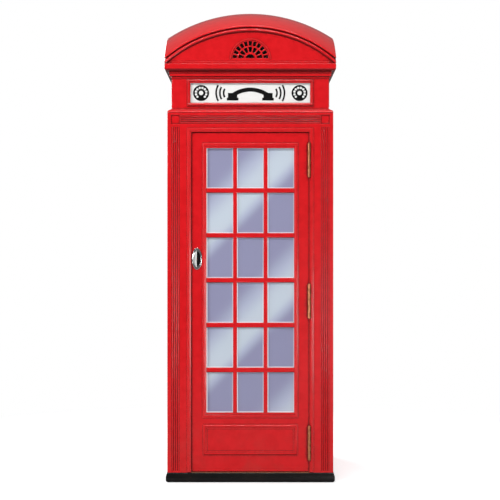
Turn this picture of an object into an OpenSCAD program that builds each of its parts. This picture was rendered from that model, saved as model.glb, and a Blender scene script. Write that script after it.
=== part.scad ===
/* [Body] */
// Width and depth of the cast body across its corner posts
body_w = 972; // [860:1:1200]
// Height of the cast body between the plinth and the ledge ring
body_h = 2109; // [1750:1:2560]
// Side of each square corner post
post_w = 75; // [72:1:90]
// Thickness of the wall castings between the posts
wall_t = 45; // [42:1:54]
// Width of the plain band between a post and the architrave
band_w = 40; // [30:1:60]
// Width of the architrave around the door and the side windows
architrave_w = 25; // [20:1:34]
// Height of the head above the door opening
head_h = 114; // [104:1:150]
// How far the mouldings stand proud of the face behind them
relief = 6; // [4:0.5:8]
// Radius of each reed on the posts and the head
reed_r = 5.3; // [4:0.1:5.6]

/* [Plinth and floor] */
// Height of the plinth
plinth_h = 57; // [50:1:90]
// How far the plinth stands out past the body
plinth_lip = 9; // [4:1:20]
// Thickness of the plinth's pan under the floor slab
pan_t = 20; // [12:1:30]
// Radius of the four anchor bolt holes
anchor_r = 9; // [6:0.5:12]
// Radius of the cable entry bore
cable_entry_r = 20; // [15:1:22]

/* [Ledge, frieze and cornice] */
// Height of the sloping ledge ring on top of the body
ledge_h = 25; // [18:1:40]
// How far the frieze stands back from the body's face
frieze_inset = 24.5; // [18:0.5:30]
// Height of the frieze that holds the lit signs
frieze_h = 176; // [160:1:240]
// Thickness of the frieze wall
frieze_t = 25; // [22:1:32]
// Plain frieze left at each end of a sign opening
sign_margin = 110; // [80:1:130]
// Height of the visible sign glass
sign_h = 117; // [100:1:125]
// Height of the cornice ring
cornice_h = 86; // [80:1:120]

/* [Roof] */
// How far the eaves stand out past the body
eave = 16; // [12:1:24]
// Rise of each pediment arch above the cornice
arch_rise = 219.5; // [190:0.5:260]
// Height of the pediment that is left at the corners
corner_rise = 37; // [30:0.5:50]
// Thickness of the cast dome
dome_t = 8; // [7:0.5:12]
// Thickness of each pediment plate
tympanum_t = 12; // [10:1:16]
// Outer radius of the pierced fan vents
fan_r = 112; // [90:1:116]

/* [Door] */
// Thickness of the door leaf
leaf_t = 40; // [38:1:44]
// Gap around the door leaf
door_gap = 3; // [2:0.5:5]
// Height of the bottom rail, from the leaf's lower edge to the glass
bottom_rail_h = 346; // [300:1:420]
// Height of the top rail
top_rail_h = 91; // [80:1:120]
// Width of each stile, from the leaf's edge to the glass
stile_w = 86.5; // [84:0.5:120]
// Radius of the hinge knuckles
knuckle_r = 9; // [7:0.5:10]
// Length of each hinge
hinge_h = 195; // [150:1:220]
// Height of the door pull above the floor
pull_height = 1252; // [900:1:1400]

/* [Glazing] */
// Width of the upright glazing bars
upright_bar_w = 24; // [20:1:30]
// Width of the level glazing bars
level_bar_w = 29; // [20:1:34]
// Depth of the rebate that each pane sits in
rebate = 7; // [5:0.5:8]
// Thickness of the glass
glass_t = 6; // [4:1:8]
// Thickness of the nose in front of the glass
nose_t = 14; // [10:1:16]

/* [Telephone] */
// Width of the payphone case
case_w = 300; // [270:1:340]
// Height of the payphone case
case_h = 420; // [400:1:480]
// Depth of the payphone case
case_d = 150; // [140:1:180]
// Height of the case's underside above the cabin floor
case_height = 943; // [880:1:1050]
// Travel of the two push buttons
button_travel = 12; // [8:1:13]
// Radius of the dial's finger wheel
dial_r = 40; // [36:1:44]

/* [Hidden] */
$fn = 96;
eps = 1;
red = [0.78, 0.07, 0.09];
black = [0.05, 0.05, 0.05];
steel = [0.72, 0.73, 0.75];
brass = [0.80, 0.60, 0.25];
pane_colour = [0.66, 0.68, 0.80, 0.6];

// Plan
half = body_w / 2;
in_half = half - wall_t;
post_in = half - post_w;
opening_half = post_in - band_w - architrave_w;
frieze_half = half - frieze_inset;
frieze_in = frieze_half - frieze_t;
roof_half = half + eave;
plinth_half = half + plinth_lip;
floor_half = in_half - 6;
anchor_c = floor_half - 105;

// Levels
body_z = plinth_h + body_h;
ledge_z = body_z + ledge_h;
frieze_z = ledge_z + frieze_h;
cornice_z = frieze_z + cornice_h;
opening_z = body_z - head_h;
reed_pitch = 2 * (reed_r + 0.6);
reed_count = 4;
reed_zone = reed_count * reed_pitch;
reed_inset = 4;
block_margin = 2.5;
block_depth = 6;
block_rise = block_depth + 0.5;
reed_foot_z = plinth_h + 12;
reed_z0 = opening_z + architrave_w + 23;
reed_z1 = reed_z0 + reed_zone + 2 * block_margin;
reed_top_z = opening_z + architrave_w + 5;

// Roof: four equal arches and a dome that passes through all of them
sagitta = arch_rise - corner_rise;
arch_r = (roof_half * roof_half + sagitta * sagitta) / (2 * sagitta);
arch_cz = cornice_z + arch_rise - arch_r;
dome_r = sqrt(arch_r * arch_r + roof_half * roof_half);
seat_gap = 0.3;
under_r = dome_r - dome_t - seat_gap;
bead_r = 12;
tympanum_y = -(roof_half - bead_r);
fan_z = cornice_z + 26;
pediment_r = sqrt(under_r * under_r - tympanum_y * tympanum_y);
bead_ring_r = sqrt(under_r * under_r - roof_half * roof_half) - 3 - bead_r;

// Door leaf, in the plane of the front
sill_t = 3;
leaf_half = opening_half - door_gap;
leaf_z0 = plinth_h + sill_t + door_gap;
leaf_z1 = opening_z - door_gap;
leaf_y = -half + relief;
leaf_back_y = leaf_y + leaf_t;
stop_gap = 2;
stop_y = leaf_back_y + stop_gap;

// Glazing, the same in the door and in the two side windows
cols = 3;
rows = 6;
glass_half = leaf_half - stile_w;
glass_z0 = leaf_z0 + bottom_rail_h;
glass_z1 = leaf_z1 - top_rail_h;
pane_w = (2 * glass_half - (cols - 1) * upright_bar_w) / cols;
pane_h = (glass_z1 - glass_z0 - (rows - 1) * level_bar_w) / rows;
pane_y = leaf_y + nose_t;
bead_y = pane_y + glass_t;
bead_t = 12;
pane_play = 0.5;
mould_w = 25;
mould_h = 32;
kick_half = glass_half + 21;
kick_z0 = leaf_z0 + 94;
kick_z1 = glass_z0 - 69;
kick_rim = 25;

// Hinges
pin_r = 4;
pin_play = 0.05;
hinge_x = leaf_half + door_gap / 2;
hinge_y = leaf_y - knuckle_r - 3;
plate_t = 3;
plate_play = 0.2;
plate_back_y = leaf_y + 34;
knuckles = 5;
knuckle_pitch = hinge_h / knuckles;
knuckle_gap = 0.6;
hinge_zs = [leaf_z0 + 168, (leaf_z0 + leaf_z1) / 2 + 6, leaf_z1 - 162];
screw_r = 4;

// Door pull
pull_x = -(leaf_half - 30.5);
pull_z = plinth_h + pull_height;
pull_half_w = 30;
pull_half_h = 64;
cup_half_w = 22.5;
cup_half_h = 49.5;
cup_wall = 2.5;
cup_depth = 20;
inner_pull_h = 200;
inner_pull_out = 46;

// Fasteners between the wall castings
flange_t = 12;
bolt_r = 6;
bolt_count = 5;
bolt_zs = [for (i = [0 : bolt_count - 1])
    plinth_h + 150 + i * (body_h - 270) / (bolt_count - 1)];
bolt_y = -(in_half + post_in) / 2;

// Sign
sign_half = frieze_half - sign_margin;
sign_z = ledge_z + 93.5;
sign_lip = 10;
sign_rebate = 7;
sign_glass_t = 5;
retainer_t = 8;

// Ceiling and lamp
ceiling_z = frieze_z + 8;
ceiling_t = 8;
lamp_base_h = 20;
globe_r = 85;
globe_wall = 4;
globe_neck_r = 40;

// Telephone
board_t = 20;
board_half = 210;
board_y = in_half - board_t;
case_y = board_y - case_d;
case_half = case_w / 2;
case_z = plinth_h + case_height;
case_top = case_z + case_h;
case_wall = 6;
dial_z = case_z + 305;
dial_base_t = 8;
wheel_t = 3;
wheel_gap = 2;
spindle_r = 5;
button_x = 95;
button_z = case_z + 178;
button_r = 17;
stem_r = 8;
cup_x = -85;
cup_z = case_z + 62;
cup_w = 74;
cup_h = 60;
flap_t = 2;
flap_pin_r = 2;
flap_y = case_y + 3;
flap_z = cup_z + cup_h / 2 - 7;
cash_x = 50;
cash_z = case_z + 62;
cash_w = 140;
cash_h = 86;
cash_t = 6;
lock_r = 9;
hook_y = case_y + 70;
hook_z = case_z + 330;
hook_r = 6;
hook_x = -(case_half + 42);
hook_reach = 62;
prong_gap = 28;
prong_w = 7;
prong_t = 8;
handset_y = hook_y - 44;
conduit_x = 110;
conduit_y = in_half - 36;
conduit_r = 12;
conduit_bore_r = conduit_r - 2.5;
shelf_z = case_z - 120;
shelf_t = 18;
shelf_d = 220;

// ---------- helpers ----------

// A box from its lowest corner to its highest
module block(lo, hi) {
    translate(lo) cube(hi - lo);
}

// Turns what is drawn on the front onto the front, left, back or right side
module on_side(k) {
    rotate([0, 0, -90 * k]) children();
}

// A cylinder whose axis runs along Y, from y0 to y1
module rod_y(x, z, r, y0, y1) {
    translate([x, y0, z]) rotate([-90, 0, 0]) cylinder(r = r, h = y1 - y0);
}

// A cylinder whose axis runs along X, from x0 to x1
module rod_x(y, z, r, x0, x1) {
    translate([x0, y, z]) rotate([0, 90, 0]) cylinder(r = r, h = x1 - x0);
}

// A rectangular ring on the front, with its own side and level widths
module face_ring(half_w, z0, z1, rim_x, rim_z, y0, y1) {
    difference() {
        block([-half_w, y0, z0], [half_w, y1, z1]);
        block([-half_w + rim_x, y0 - eps, z0 + rim_z], [half_w - rim_x, y1 + eps, z1 - rim_z]);
    }
}

// A solid that is square in plan and has the same outline from all four sides
module square_turned(outline, reach) {
    intersection() {
        rotate([90, 0, 0]) linear_extrude(2 * reach, center = true) polygon(outline);
        rotate([90, 0, 90]) linear_extrude(2 * reach, center = true) polygon(outline);
    }
}

// Mirrors a right-hand outline, listed from the bottom up, onto both sides
function both_sides(points) = concat(
    points, [for (i = [len(points) - 1 : -1 : 0]) [-points[i][0], points[i][1]]]);

function ellipse_points(a, b, n = 48) = [for (i = [0 : n - 1])
    [a * cos(360 * i / n), b * sin(360 * i / n)]];

// An upright elliptical slab on the front
module oval(a, b, y0, y1) {
    translate([0, y1, 0]) rotate([90, 0, 0]) linear_extrude(y1 - y0) polygon(ellipse_points(a, b));
}

// Children at the centre of each pane
module each_pane() {
    for (c = [0 : cols - 1], r = [0 : rows - 1])
        translate([
            -glass_half + pane_w / 2 + c * (pane_w + upright_bar_w), 0,
            glass_z0 + pane_h / 2 + r * (pane_h + level_bar_w)
        ]) children();
}

// ---------- plinth and floor ----------

module plinth() color(black) {
    foot = 10;
    bevel = 22;
    outline = both_sides([
        [plinth_half - foot, 0], [plinth_half, foot], [plinth_half, plinth_h - bevel],
        [plinth_half - plinth_lip + 2, plinth_h]
    ]);
    difference() {
        square_turned(outline, plinth_half + eps);
        block([-floor_half, -floor_half, pan_t], [floor_half, floor_half, plinth_h + eps]);
        for (x = [-anchor_c, anchor_c], y = [-anchor_c, anchor_c])
            translate([x, y, -eps]) cylinder(r = anchor_r, h = pan_t + 2 * eps);
        translate([conduit_x, conduit_y, -eps]) cylinder(r = cable_entry_r, h = pan_t + 2 * eps);
    }
}

module floor_slab() color([0.55, 0.54, 0.52]) {
    well_r = anchor_r + 17;
    difference() {
        block([-floor_half, -floor_half, pan_t], [floor_half, floor_half, plinth_h]);
        for (x = [-anchor_c, anchor_c], y = [-anchor_c, anchor_c])
            translate([x, y, pan_t - eps]) cylinder(r = well_r, h = plinth_h);
        translate([conduit_x, conduit_y, pan_t - eps])
            cylinder(r = cable_entry_r + 2, h = plinth_h);
    }
}

// ---------- wall castings ----------

// The recess that the post reeds lie in
module post_reed_recess() {
    block(
        [post_in + reed_inset, -half - eps, reed_foot_z],
        [post_in + reed_inset + reed_zone, -half + reed_r, reed_top_z]
    );
}

// The square recess of a corner block
module corner_block_recess() {
    block([post_in + 2, -half - eps, reed_z0], [post_in + 6 + reed_zone, -half + block_depth, reed_z1]);
}

// A low pyramid in the corner block's recess, cut in two directions
module corner_block_pyramid() {
    w = reed_zone + 2;
    translate([post_in + reed_inset + reed_zone / 2, -half + block_rise, (reed_z0 + reed_z1) / 2])
        intersection() {
            linear_extrude(w, center = true)
                polygon([[-w / 2, 0], [w / 2, 0], [0, -block_rise]]);
            rotate([0, 90, 0]) linear_extrude(w, center = true)
                polygon([[-w / 2, 0], [w / 2, 0], [0, -block_rise]]);
        }
}

// One corner post at the right-hand end, with its reeds on both outer faces
module corner_post() {
    difference() {
        block([post_in, -half, plinth_h], [half, -post_in, body_z]);
        post_reed_recess();
        corner_block_recess();
        on_side(3) mirror([1, 0, 0]) {
            post_reed_recess();
            corner_block_recess();
        }
        for (z = bolt_zs)
            rod_y(-bolt_y, z, bolt_r + 0.05, -post_in - 22, -post_in + eps);
    }
    reeds_and_block();
    on_side(3) mirror([1, 0, 0]) reeds_and_block();
}

// The four reeds of one post face, with the corner block above them
module reeds_and_block() {
    for (i = [0 : reed_count - 1])
        translate([post_in + reed_inset + (i + 0.5) * reed_pitch, -half + reed_r, reed_foot_z])
            cylinder(r = reed_r, h = reed_top_z - reed_foot_z);
    corner_block_pyramid();
}

// The level reeding between the corner blocks
module head_reeds() {
    for (i = [0 : reed_count - 1])
        rod_x(-half + reed_r, reed_z0 + block_margin + (i + 0.5) * reed_pitch, reed_r, -post_in, post_in);
}

module head_reed_recess() {
    block(
        [-post_in - eps, -half - eps, reed_z0 + block_margin],
        [post_in + eps, -half + reed_r, reed_z0 + block_margin + reed_zone]
    );
}

// The architrave: a raised strip with a prouder bead on it, open at the foot
module architrave() {
    foot_z = plinth_h + 6;
    outer = opening_half + architrave_w;
    difference() {
        union() {
            difference() {
                block([-outer, -half - relief / 2, foot_z], [outer, -half + eps, opening_z + architrave_w]);
                block([-opening_half, -half - relief, 0], [opening_half, -half + 2 * eps, opening_z]);
            }
            difference() {
                block(
                    [-outer + 7, -half - relief, foot_z],
                    [outer - 7, -half + eps, opening_z + architrave_w - 7]
                );
                block(
                    [-opening_half - 7, -half - relief - eps, 0],
                    [opening_half + 7, -half + 2 * eps, opening_z + 7]
                );
            }
        }
        children();
    }
}

// The moulding around a group of panes and around the kick panel
module sash_mouldings(y) {
    face_ring(glass_half + mould_w, glass_z0 - mould_h, glass_z1 + mould_h,
        mould_w, mould_h, y - relief / 2, y + eps);
    face_ring(glass_half + mould_w - 6, glass_z0 - mould_h + 8, glass_z1 + mould_h - 8,
        9, 11, y - relief, y + eps);
    kick_moulding(y);
}

module kick_moulding(y) {
    face_ring(kick_half, kick_z0, kick_z1, kick_rim, kick_rim + 2, y - relief / 2, y + eps);
    face_ring(kick_half - 7, kick_z0 + 8, kick_z1 - 8, 9, 10, y - relief, y + eps);
}

// The glass opening, with the wider rebate behind its nose
module glass_opening(y, back_y) {
    block([-glass_half, y - eps, glass_z0], [glass_half, back_y + eps, glass_z1]);
    block(
        [-glass_half - rebate, pane_y, glass_z0 - rebate],
        [glass_half + rebate, back_y + eps, glass_z1 + rebate]
    );
}

module front_frame() color(red) {
    stop_w = 20;
    stop_base = 12;
    barrel_bay = knuckle_r + 1.2;
    difference() {
        union() {
            difference() {
                block([-post_in, -half, plinth_h], [post_in, -in_half, body_z]);
                block([-opening_half, -half - eps, 0], [opening_half, -in_half + eps, opening_z]);
                head_reed_recess();
            }
            head_reeds();
            for (side = [0, 1]) mirror([side, 0, 0]) corner_post();
            architrave();
            // door stop
            difference() {
                block(
                    [-opening_half - stop_base, stop_y, plinth_h],
                    [opening_half + stop_base, stop_y + stop_base, opening_z + stop_base]
                );
                block(
                    [-opening_half + stop_w, stop_y - eps, 0],
                    [opening_half - stop_w, stop_y + 2 * stop_base, opening_z - stop_w]
                );
            }
        }
        for (z = hinge_zs) {
            // bay for the knuckles and pocket for the leaf
            block(
                [opening_half - eps, -half - 2 * relief, z - hinge_h / 2 - 7],
                [hinge_x + barrel_bay, hinge_y + barrel_bay, z + hinge_h / 2 + 7]
            );
            block(
                [opening_half - eps, -half - 2 * relief, z - hinge_h / 2 - 1],
                [opening_half + plate_t + plate_play, plate_back_y + 1, z + hinge_h / 2 + 1]
            );
            for (s = screw_spots(z))
                rod_x(s[0], s[1], screw_r + 0.05, opening_half, opening_half + 30);
        }
    }
}

// Where the screws of the hinge at height z sit: Y and Z of each
function screw_spots(z) = [for (i = [-1 : 1])
    [(leaf_y + plate_back_y) / 2 + 2, z + i * (hinge_h / 2 - 22)]];

module side_frame() {
    lap = 2;
    difference() {
        union() {
            block([-post_in, -half, plinth_h], [post_in, -in_half, body_z]);
            for (side = [0, 1]) mirror([side, 0, 0])
                block([post_in - flange_t, -in_half - lap, plinth_h], [post_in, -post_in, body_z]);
        }
        sash_recess();
        head_reed_recess();
        glass_opening(leaf_y, -in_half);
        for (side = [0, 1], z = bolt_zs) mirror([side, 0, 0])
            rod_x(bolt_y, z, bolt_r + 0.5, post_in - flange_t - eps, post_in + eps);
    }
    architrave();
    head_reeds();
    sash_mouldings(leaf_y);
}

// Sets the sash area back behind the architrave
module sash_recess() {
    block(
        [-opening_half, -half - eps, plinth_h + 6], [opening_half, leaf_y, opening_z]
    );
}

module left_side_frame() color(red) on_side(1) side_frame();
module right_side_frame() color(red) on_side(3) side_frame();

module back_panel() color(red) on_side(2) {
    difference() {
        block([-post_in, -half, plinth_h], [post_in, -in_half, body_z]);
        sash_recess();
        head_reed_recess();
    }
    architrave();
    head_reeds();
    for (side = [0, 1]) mirror([side, 0, 0]) corner_post();
    sash_mouldings(leaf_y);
}

// ---------- glazing ----------

// Upright bars in one length, and level bars cut between them; each is a nose on a web
module glazing_bars() {
    upright_web = upright_bar_w / 2 - rebate;
    level_web = level_bar_w / 2 - rebate;
    web_y = bead_y + bead_t;
    for (c = [1 : cols - 1]) {
        x = -glass_half + c * (pane_w + upright_bar_w) - upright_bar_w / 2;
        block([x - upright_bar_w / 2, leaf_y, glass_z0], [x + upright_bar_w / 2, pane_y, glass_z1]);
        block([x - upright_web, pane_y, glass_z0 - rebate], [x + upright_web, web_y, glass_z1 + rebate]);
    }
    for (c = [0 : cols - 1], r = [1 : rows - 1]) {
        x = -glass_half + pane_w / 2 + c * (pane_w + upright_bar_w);
        z = glass_z0 + r * (pane_h + level_bar_w) - level_bar_w / 2;
        block([x - pane_w / 2, leaf_y, z - level_bar_w / 2], [x + pane_w / 2, pane_y, z + level_bar_w / 2]);
        block(
            [x - pane_w / 2 - rebate, pane_y, z - level_web],
            [x + pane_w / 2 + rebate, web_y, z + level_web]
        );
    }
}

module panes() {
    w = pane_w / 2 + rebate - pane_play;
    h = pane_h / 2 + rebate - pane_play;
    each_pane() block([-w, pane_y, -h], [w, bead_y, h]);
}

module glazing_beads() {
    w = pane_w / 2 + rebate - pane_play;
    h = pane_h / 2 + rebate - pane_play;
    each_pane() face_ring(w, -h, h, rebate, rebate, bead_y, bead_y + bead_t);
}

module left_window_bars() color(red) on_side(1) glazing_bars();
module right_window_bars() color(red) on_side(3) glazing_bars();
module left_window_glass() color(pane_colour) on_side(1) panes();
module right_window_glass() color(pane_colour) on_side(3) panes();
module window_beads() color(red) for (k = [1, 3]) on_side(k) glazing_beads();

// ---------- ledge, frieze and cornice ----------

module ledge_ring() color(red) {
    outline = both_sides([
        [half - 1, body_z], [half, body_z + 2], [half, body_z + 7],
        [half - 4, body_z + 13], [half - 13, body_z + 18], [frieze_half + 5, body_z + 20],
        [frieze_half + 3, ledge_z]
    ]);
    difference() {
        square_turned(outline, half + eps);
        block([-frieze_in, -frieze_in, body_z - eps], [frieze_in, frieze_in, ledge_z + eps]);
    }
}

module frieze_ring() color(red) {
    lip_y = -frieze_half + sign_lip;
    difference() {
        block([-frieze_half, -frieze_half, ledge_z], [frieze_half, frieze_half, frieze_z]);
        block([-frieze_in, -frieze_in, ledge_z - eps], [frieze_in, frieze_in, frieze_z + eps]);
        for (k = [0 : 3]) on_side(k) {
            block(
                [-sign_half, -frieze_half - eps, sign_z - sign_h / 2],
                [sign_half, -frieze_in + eps, sign_z + sign_h / 2]
            );
            block(
                [-sign_half - sign_rebate, lip_y, sign_z - sign_h / 2 - sign_rebate],
                [sign_half + sign_rebate, -frieze_in + eps, sign_z + sign_h / 2 + sign_rebate]
            );
        }
    }
    for (k = [0 : 3]) on_side(k) {
        face_ring(sign_half + 20, sign_z - sign_h / 2 - 20, sign_z + sign_h / 2 + 18,
            20, 20, -frieze_half - 4, -frieze_half + eps);
        face_ring(sign_half + 15, sign_z - sign_h / 2 - 15, sign_z + sign_h / 2 + 14,
            8, 8, -frieze_half - 8, -frieze_half + eps);
    }
}

module sign_glasses() color([0.97, 0.96, 0.92]) {
    grow = sign_rebate - pane_play;
    y = -frieze_half + sign_lip;
    for (k = [0 : 3]) on_side(k)
        block(
            [-sign_half - grow, y, sign_z - sign_h / 2 - grow],
            [sign_half + grow, y + sign_glass_t, sign_z + sign_h / 2 + grow]
        );
}

module sign_retainers() color(steel) {
    grow = sign_rebate - pane_play;
    y = -frieze_half + sign_lip + sign_glass_t;
    for (k = [0 : 3]) on_side(k)
        face_ring(sign_half + grow, sign_z - sign_h / 2 - grow, sign_z + sign_h / 2 + grow,
            14, 14, y, y + retainer_t);
}

// A ring cut down to the part within half_angle of the +X direction
module arc_2d(r_in, r_out, half_angle) {
    reach = 2 * r_out;
    intersection() {
        difference() {
            circle(r_out);
            circle(r_in);
        }
        polygon([
            [0, 0], [reach * cos(half_angle), -reach * sin(half_angle)],
            [reach * cos(half_angle), reach * sin(half_angle)]
        ]);
    }
}

// A receiver lying level: a bowed grip with a cup at each end
module receiver_2d() {
    grip_r = 190;
    reach = 118;
    drop = grip_r - sqrt(grip_r * grip_r - reach * reach);
    translate([0, 32 - grip_r]) intersection() {
        difference() {
            circle(grip_r);
            circle(grip_r - 24);
        }
        translate([-reach, 0]) square([2 * reach, grip_r + eps]);
    }
    for (s = [-1, 1]) translate([s * 104, 0]) {
        translate([-27, -34]) square([54, 34]);
        translate([-34, -44]) square([68, 16]);
    }
}

// A dial disc with ten finger holes
module dial_2d() {
    difference() {
        circle(47);
        circle(13);
        for (i = [0 : 9]) rotate(i * 30 - 45) translate([31, 0]) circle(7);
    }
}

module sign_symbols() color(black) {
    thickness = 1.5;
    y = -frieze_half + sign_lip;
    dial_x = sign_half - 62;
    for (k = [0 : 3]) on_side(k) translate([0, y, sign_z]) rotate([90, 0, 0])
        linear_extrude(thickness) {
            receiver_2d();
            for (s = [0, 1]) mirror([s, 0, 0]) {
                translate([dial_x, 0]) dial_2d();
                for (i = [0 : 2]) translate([108, 0])
                    arc_2d(44 + 22 * i, 54 + 22 * i, 30);
            }
        }
}

module cornice_ring() color(red) {
    soffit_z = cornice_z - 43;
    outline = both_sides([
        [frieze_half + 4, frieze_z], [frieze_half + 4, frieze_z + 11],
        [half - 12, frieze_z + 13], [half - 12, soffit_z - 14], [half - 8, soffit_z - 12],
        [half - 8, soffit_z], [roof_half - 12, soffit_z], [roof_half - 4, soffit_z + 3.5],
        [roof_half, soffit_z + 12], [roof_half, cornice_z - 4], [roof_half - 4, cornice_z]
    ]);
    difference() {
        square_turned(outline, roof_half + eps);
        block([-frieze_in, -frieze_in, ceiling_z], [frieze_in, frieze_in, cornice_z + eps]);
        block(
            [-frieze_in + 8, -frieze_in + 8, frieze_z - eps],
            [frieze_in - 8, frieze_in - 8, cornice_z]
        );
    }
}

// ---------- roof ----------

// Keeps what lies in the front quarter of the plan, between the two diagonals
module front_quarter() {
    reach = roof_half + 10;
    intersection() {
        children();
        linear_extrude(cornice_z + dome_r) polygon([[0, 0], [-reach, -reach], [reach, -reach]]);
    }
}

// One tier of radial slots of the fan vent
module fan_slots(r_in, r_out, count) {
    for (i = [0 : count - 1])
        rotate(180 * (i + 0.5) / count) arc_2d(r_in, r_out, 90 / count * 0.68);
}

module fan_vent_2d() {
    intersection() {
        union() {
            fan_slots(fan_r * 0.70, fan_r * 0.93, 11);
            fan_slots(fan_r * 0.36, fan_r * 0.63, 7);
            circle(fan_r * 0.24);
        }
        translate([-fan_r, 5]) square([2 * fan_r, fan_r]);
    }
}

module pediment() {
    plate_back = tympanum_y + tympanum_t;
    difference() {
        union() {
            // plate under the arch
            front_quarter() intersection() {
                translate([0, plate_back, arch_cz]) rotate([90, 0, 0])
                    cylinder(r = pediment_r, h = tympanum_t, $fn = 180);
                block([-roof_half, tympanum_y, cornice_z], [roof_half, plate_back, cornice_z + dome_r]);
            }
            front_quarter() intersection() {
                translate([0, tympanum_y, arch_cz]) rotate([90, 0, 0])
                    rotate_extrude($fn = 180) translate([bead_ring_r, 0]) circle(bead_r);
                block(
                    [-roof_half, -roof_half, cornice_z], [roof_half, plate_back, cornice_z + dome_r]
                );
            }
            // base strip and the arch band around the vent
            block(
                [-(roof_half - 40), tympanum_y - 5, cornice_z],
                [roof_half - 40, tympanum_y + eps, cornice_z + 12]
            );
            translate([0, tympanum_y + eps, fan_z]) rotate([90, 0, 0])
                linear_extrude(eps + 4) intersection() {
                    difference() {
                        circle(fan_r + 8);
                        circle(fan_r);
                    }
                    translate([-fan_r - 10, 0]) square([2 * fan_r + 20, fan_r + 10]);
                }
        }
        translate([0, plate_back + eps, fan_z]) rotate([90, 0, 0])
            linear_extrude(tympanum_t + 10) fan_vent_2d();
    }
}

module front_pediment() color(red) pediment();
module left_pediment() color(red) on_side(1) pediment();
module back_pediment() color(red) on_side(2) pediment();
module right_pediment() color(red) on_side(3) pediment();

module roof_dome() color(red) intersection() {
    block([-roof_half, -roof_half, cornice_z], [roof_half, roof_half, cornice_z + dome_r]);
    translate([0, 0, arch_cz]) difference() {
        sphere(dome_r, $fn = 180);
        sphere(dome_r - dome_t, $fn = 180);
    }
}

// Perforated plates behind the pierced vents
module vent_baffles() color(black) {
    y = tympanum_y + tympanum_t;
    pitch = 22;
    hole_r = 7;
    for (k = [0 : 3]) on_side(k) difference() {
        block([-fan_r - 16, y, cornice_z + 4], [fan_r + 16, y + 2, fan_z + fan_r + 12]);
        for (i = [-4 : 4], j = [0 : 4])
            rod_y(i * pitch, fan_z + 14 + j * pitch, hole_r, y - eps, y + 3);
    }
}

// ---------- fasteners, ceiling and services ----------

module frame_bolts() color(steel) {
    head_h_mm = 7;
    for (k = [1, 3], side = [0, 1], z = bolt_zs) on_side(k) mirror([side, 0, 0]) {
        face = post_in - flange_t;
        rod_x(bolt_y, z, bolt_r, face - eps, post_in + 20);
        translate([face - head_h_mm, bolt_y, z]) rotate([0, 90, 0])
            cylinder(r = 10, h = head_h_mm, $fn = 6);
    }
}

module ceiling_panel() color([0.93, 0.92, 0.88]) difference() {
    play = 0.5;
    vents = 12;
    translate([0, 0, ceiling_z]) difference() {
        block(
            [-frieze_in + play, -frieze_in + play, 0], [frieze_in - play, frieze_in - play, ceiling_t]
        );
        for (i = [0 : vents - 1]) rotate(i * 360 / vents)
            translate([150, 0, -eps]) cylinder(r = 9, h = ceiling_t + 2 * eps);
        cylinder(r = 8, h = 3 * ceiling_t, center = true);
    }
}

module lamp_base() color(black) {
    translate([0, 0, ceiling_z - lamp_base_h]) difference() {
        union() {
            cylinder(r = 62, h = lamp_base_h - 8);
            cylinder(r = 70, h = lamp_base_h);
        }
        translate([0, 0, -eps]) cylinder(r = globe_neck_r - 8, h = 10 + eps);
    }
}

module lamp_bulb() color([1, 0.95, 0.8]) {
    top_z = ceiling_z - lamp_base_h + 10;
    bulb_r = 28;
    translate([0, 0, top_z - 34]) cylinder(r = 13, h = 34);
    translate([0, 0, top_z - 52]) sphere(bulb_r);
}

module lamp_bowl() color([0.95, 0.95, 0.92, 0.7]) {
    rim_z = ceiling_z - lamp_base_h;
    drop = sqrt(globe_r * globe_r - globe_neck_r * globe_neck_r);
    difference() {
        translate([0, 0, rim_z - drop]) difference() {
            sphere(globe_r);
            sphere(globe_r - globe_wall);
        }
        block([-globe_r, -globe_r, rim_z], [globe_r, globe_r, rim_z + globe_r]);
    }
}

module cable_conduit() color(steel) {
    foot_r = 34;
    foot_h = 6;
    difference() {
        translate([conduit_x, conduit_y, 0]) {
            translate([0, 0, plinth_h]) cylinder(r = foot_r, h = foot_h);
            translate([0, 0, plinth_h]) cylinder(r = conduit_r, h = case_z - plinth_h);
            translate([0, 0, case_top]) cylinder(r = conduit_r, h = ceiling_z - case_top);
        }
        translate([conduit_x, conduit_y, plinth_h - eps])
            cylinder(r = conduit_bore_r, h = ceiling_z);
    }
}

module conduit_clips() color(steel) {
    clip_h = 22;
    play = 0.3;
    seats = [
        [plinth_h + 200, in_half], [plinth_h + 540, in_half], [case_top + 210, board_y],
        [body_z - 250, in_half], [body_z - 60, in_half]
    ];
    for (s = seats) difference() {
        union() {
            block([conduit_x - 8, conduit_y, s[0]], [conduit_x + 8, s[1], s[0] + clip_h]);
            block([conduit_x - 24, s[1] - 4, s[0]], [conduit_x + 24, s[1], s[0] + clip_h]);
            translate([conduit_x, conduit_y, s[0]]) cylinder(r = conduit_r + 3, h = clip_h);
        }
        translate([conduit_x, conduit_y, s[0] - eps])
            cylinder(r = conduit_r + play, h = clip_h + 2 * eps);
    }
}

// ---------- door ----------

// A pointed oval, a wide and b tall from its centre
module lens_2d(a, b) {
    r = (a * a + b * b) / (2 * a);
    intersection() {
        translate([r - a, 0]) circle(r);
        translate([a - r, 0]) circle(r);
    }
}

// A slab of the children's outline at the door pull, from y0 back to y1
module at_pull(y0, y1) {
    translate([pull_x, y1, pull_z]) rotate([90, 0, 0]) linear_extrude(y1 - y0) children();
}

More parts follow.
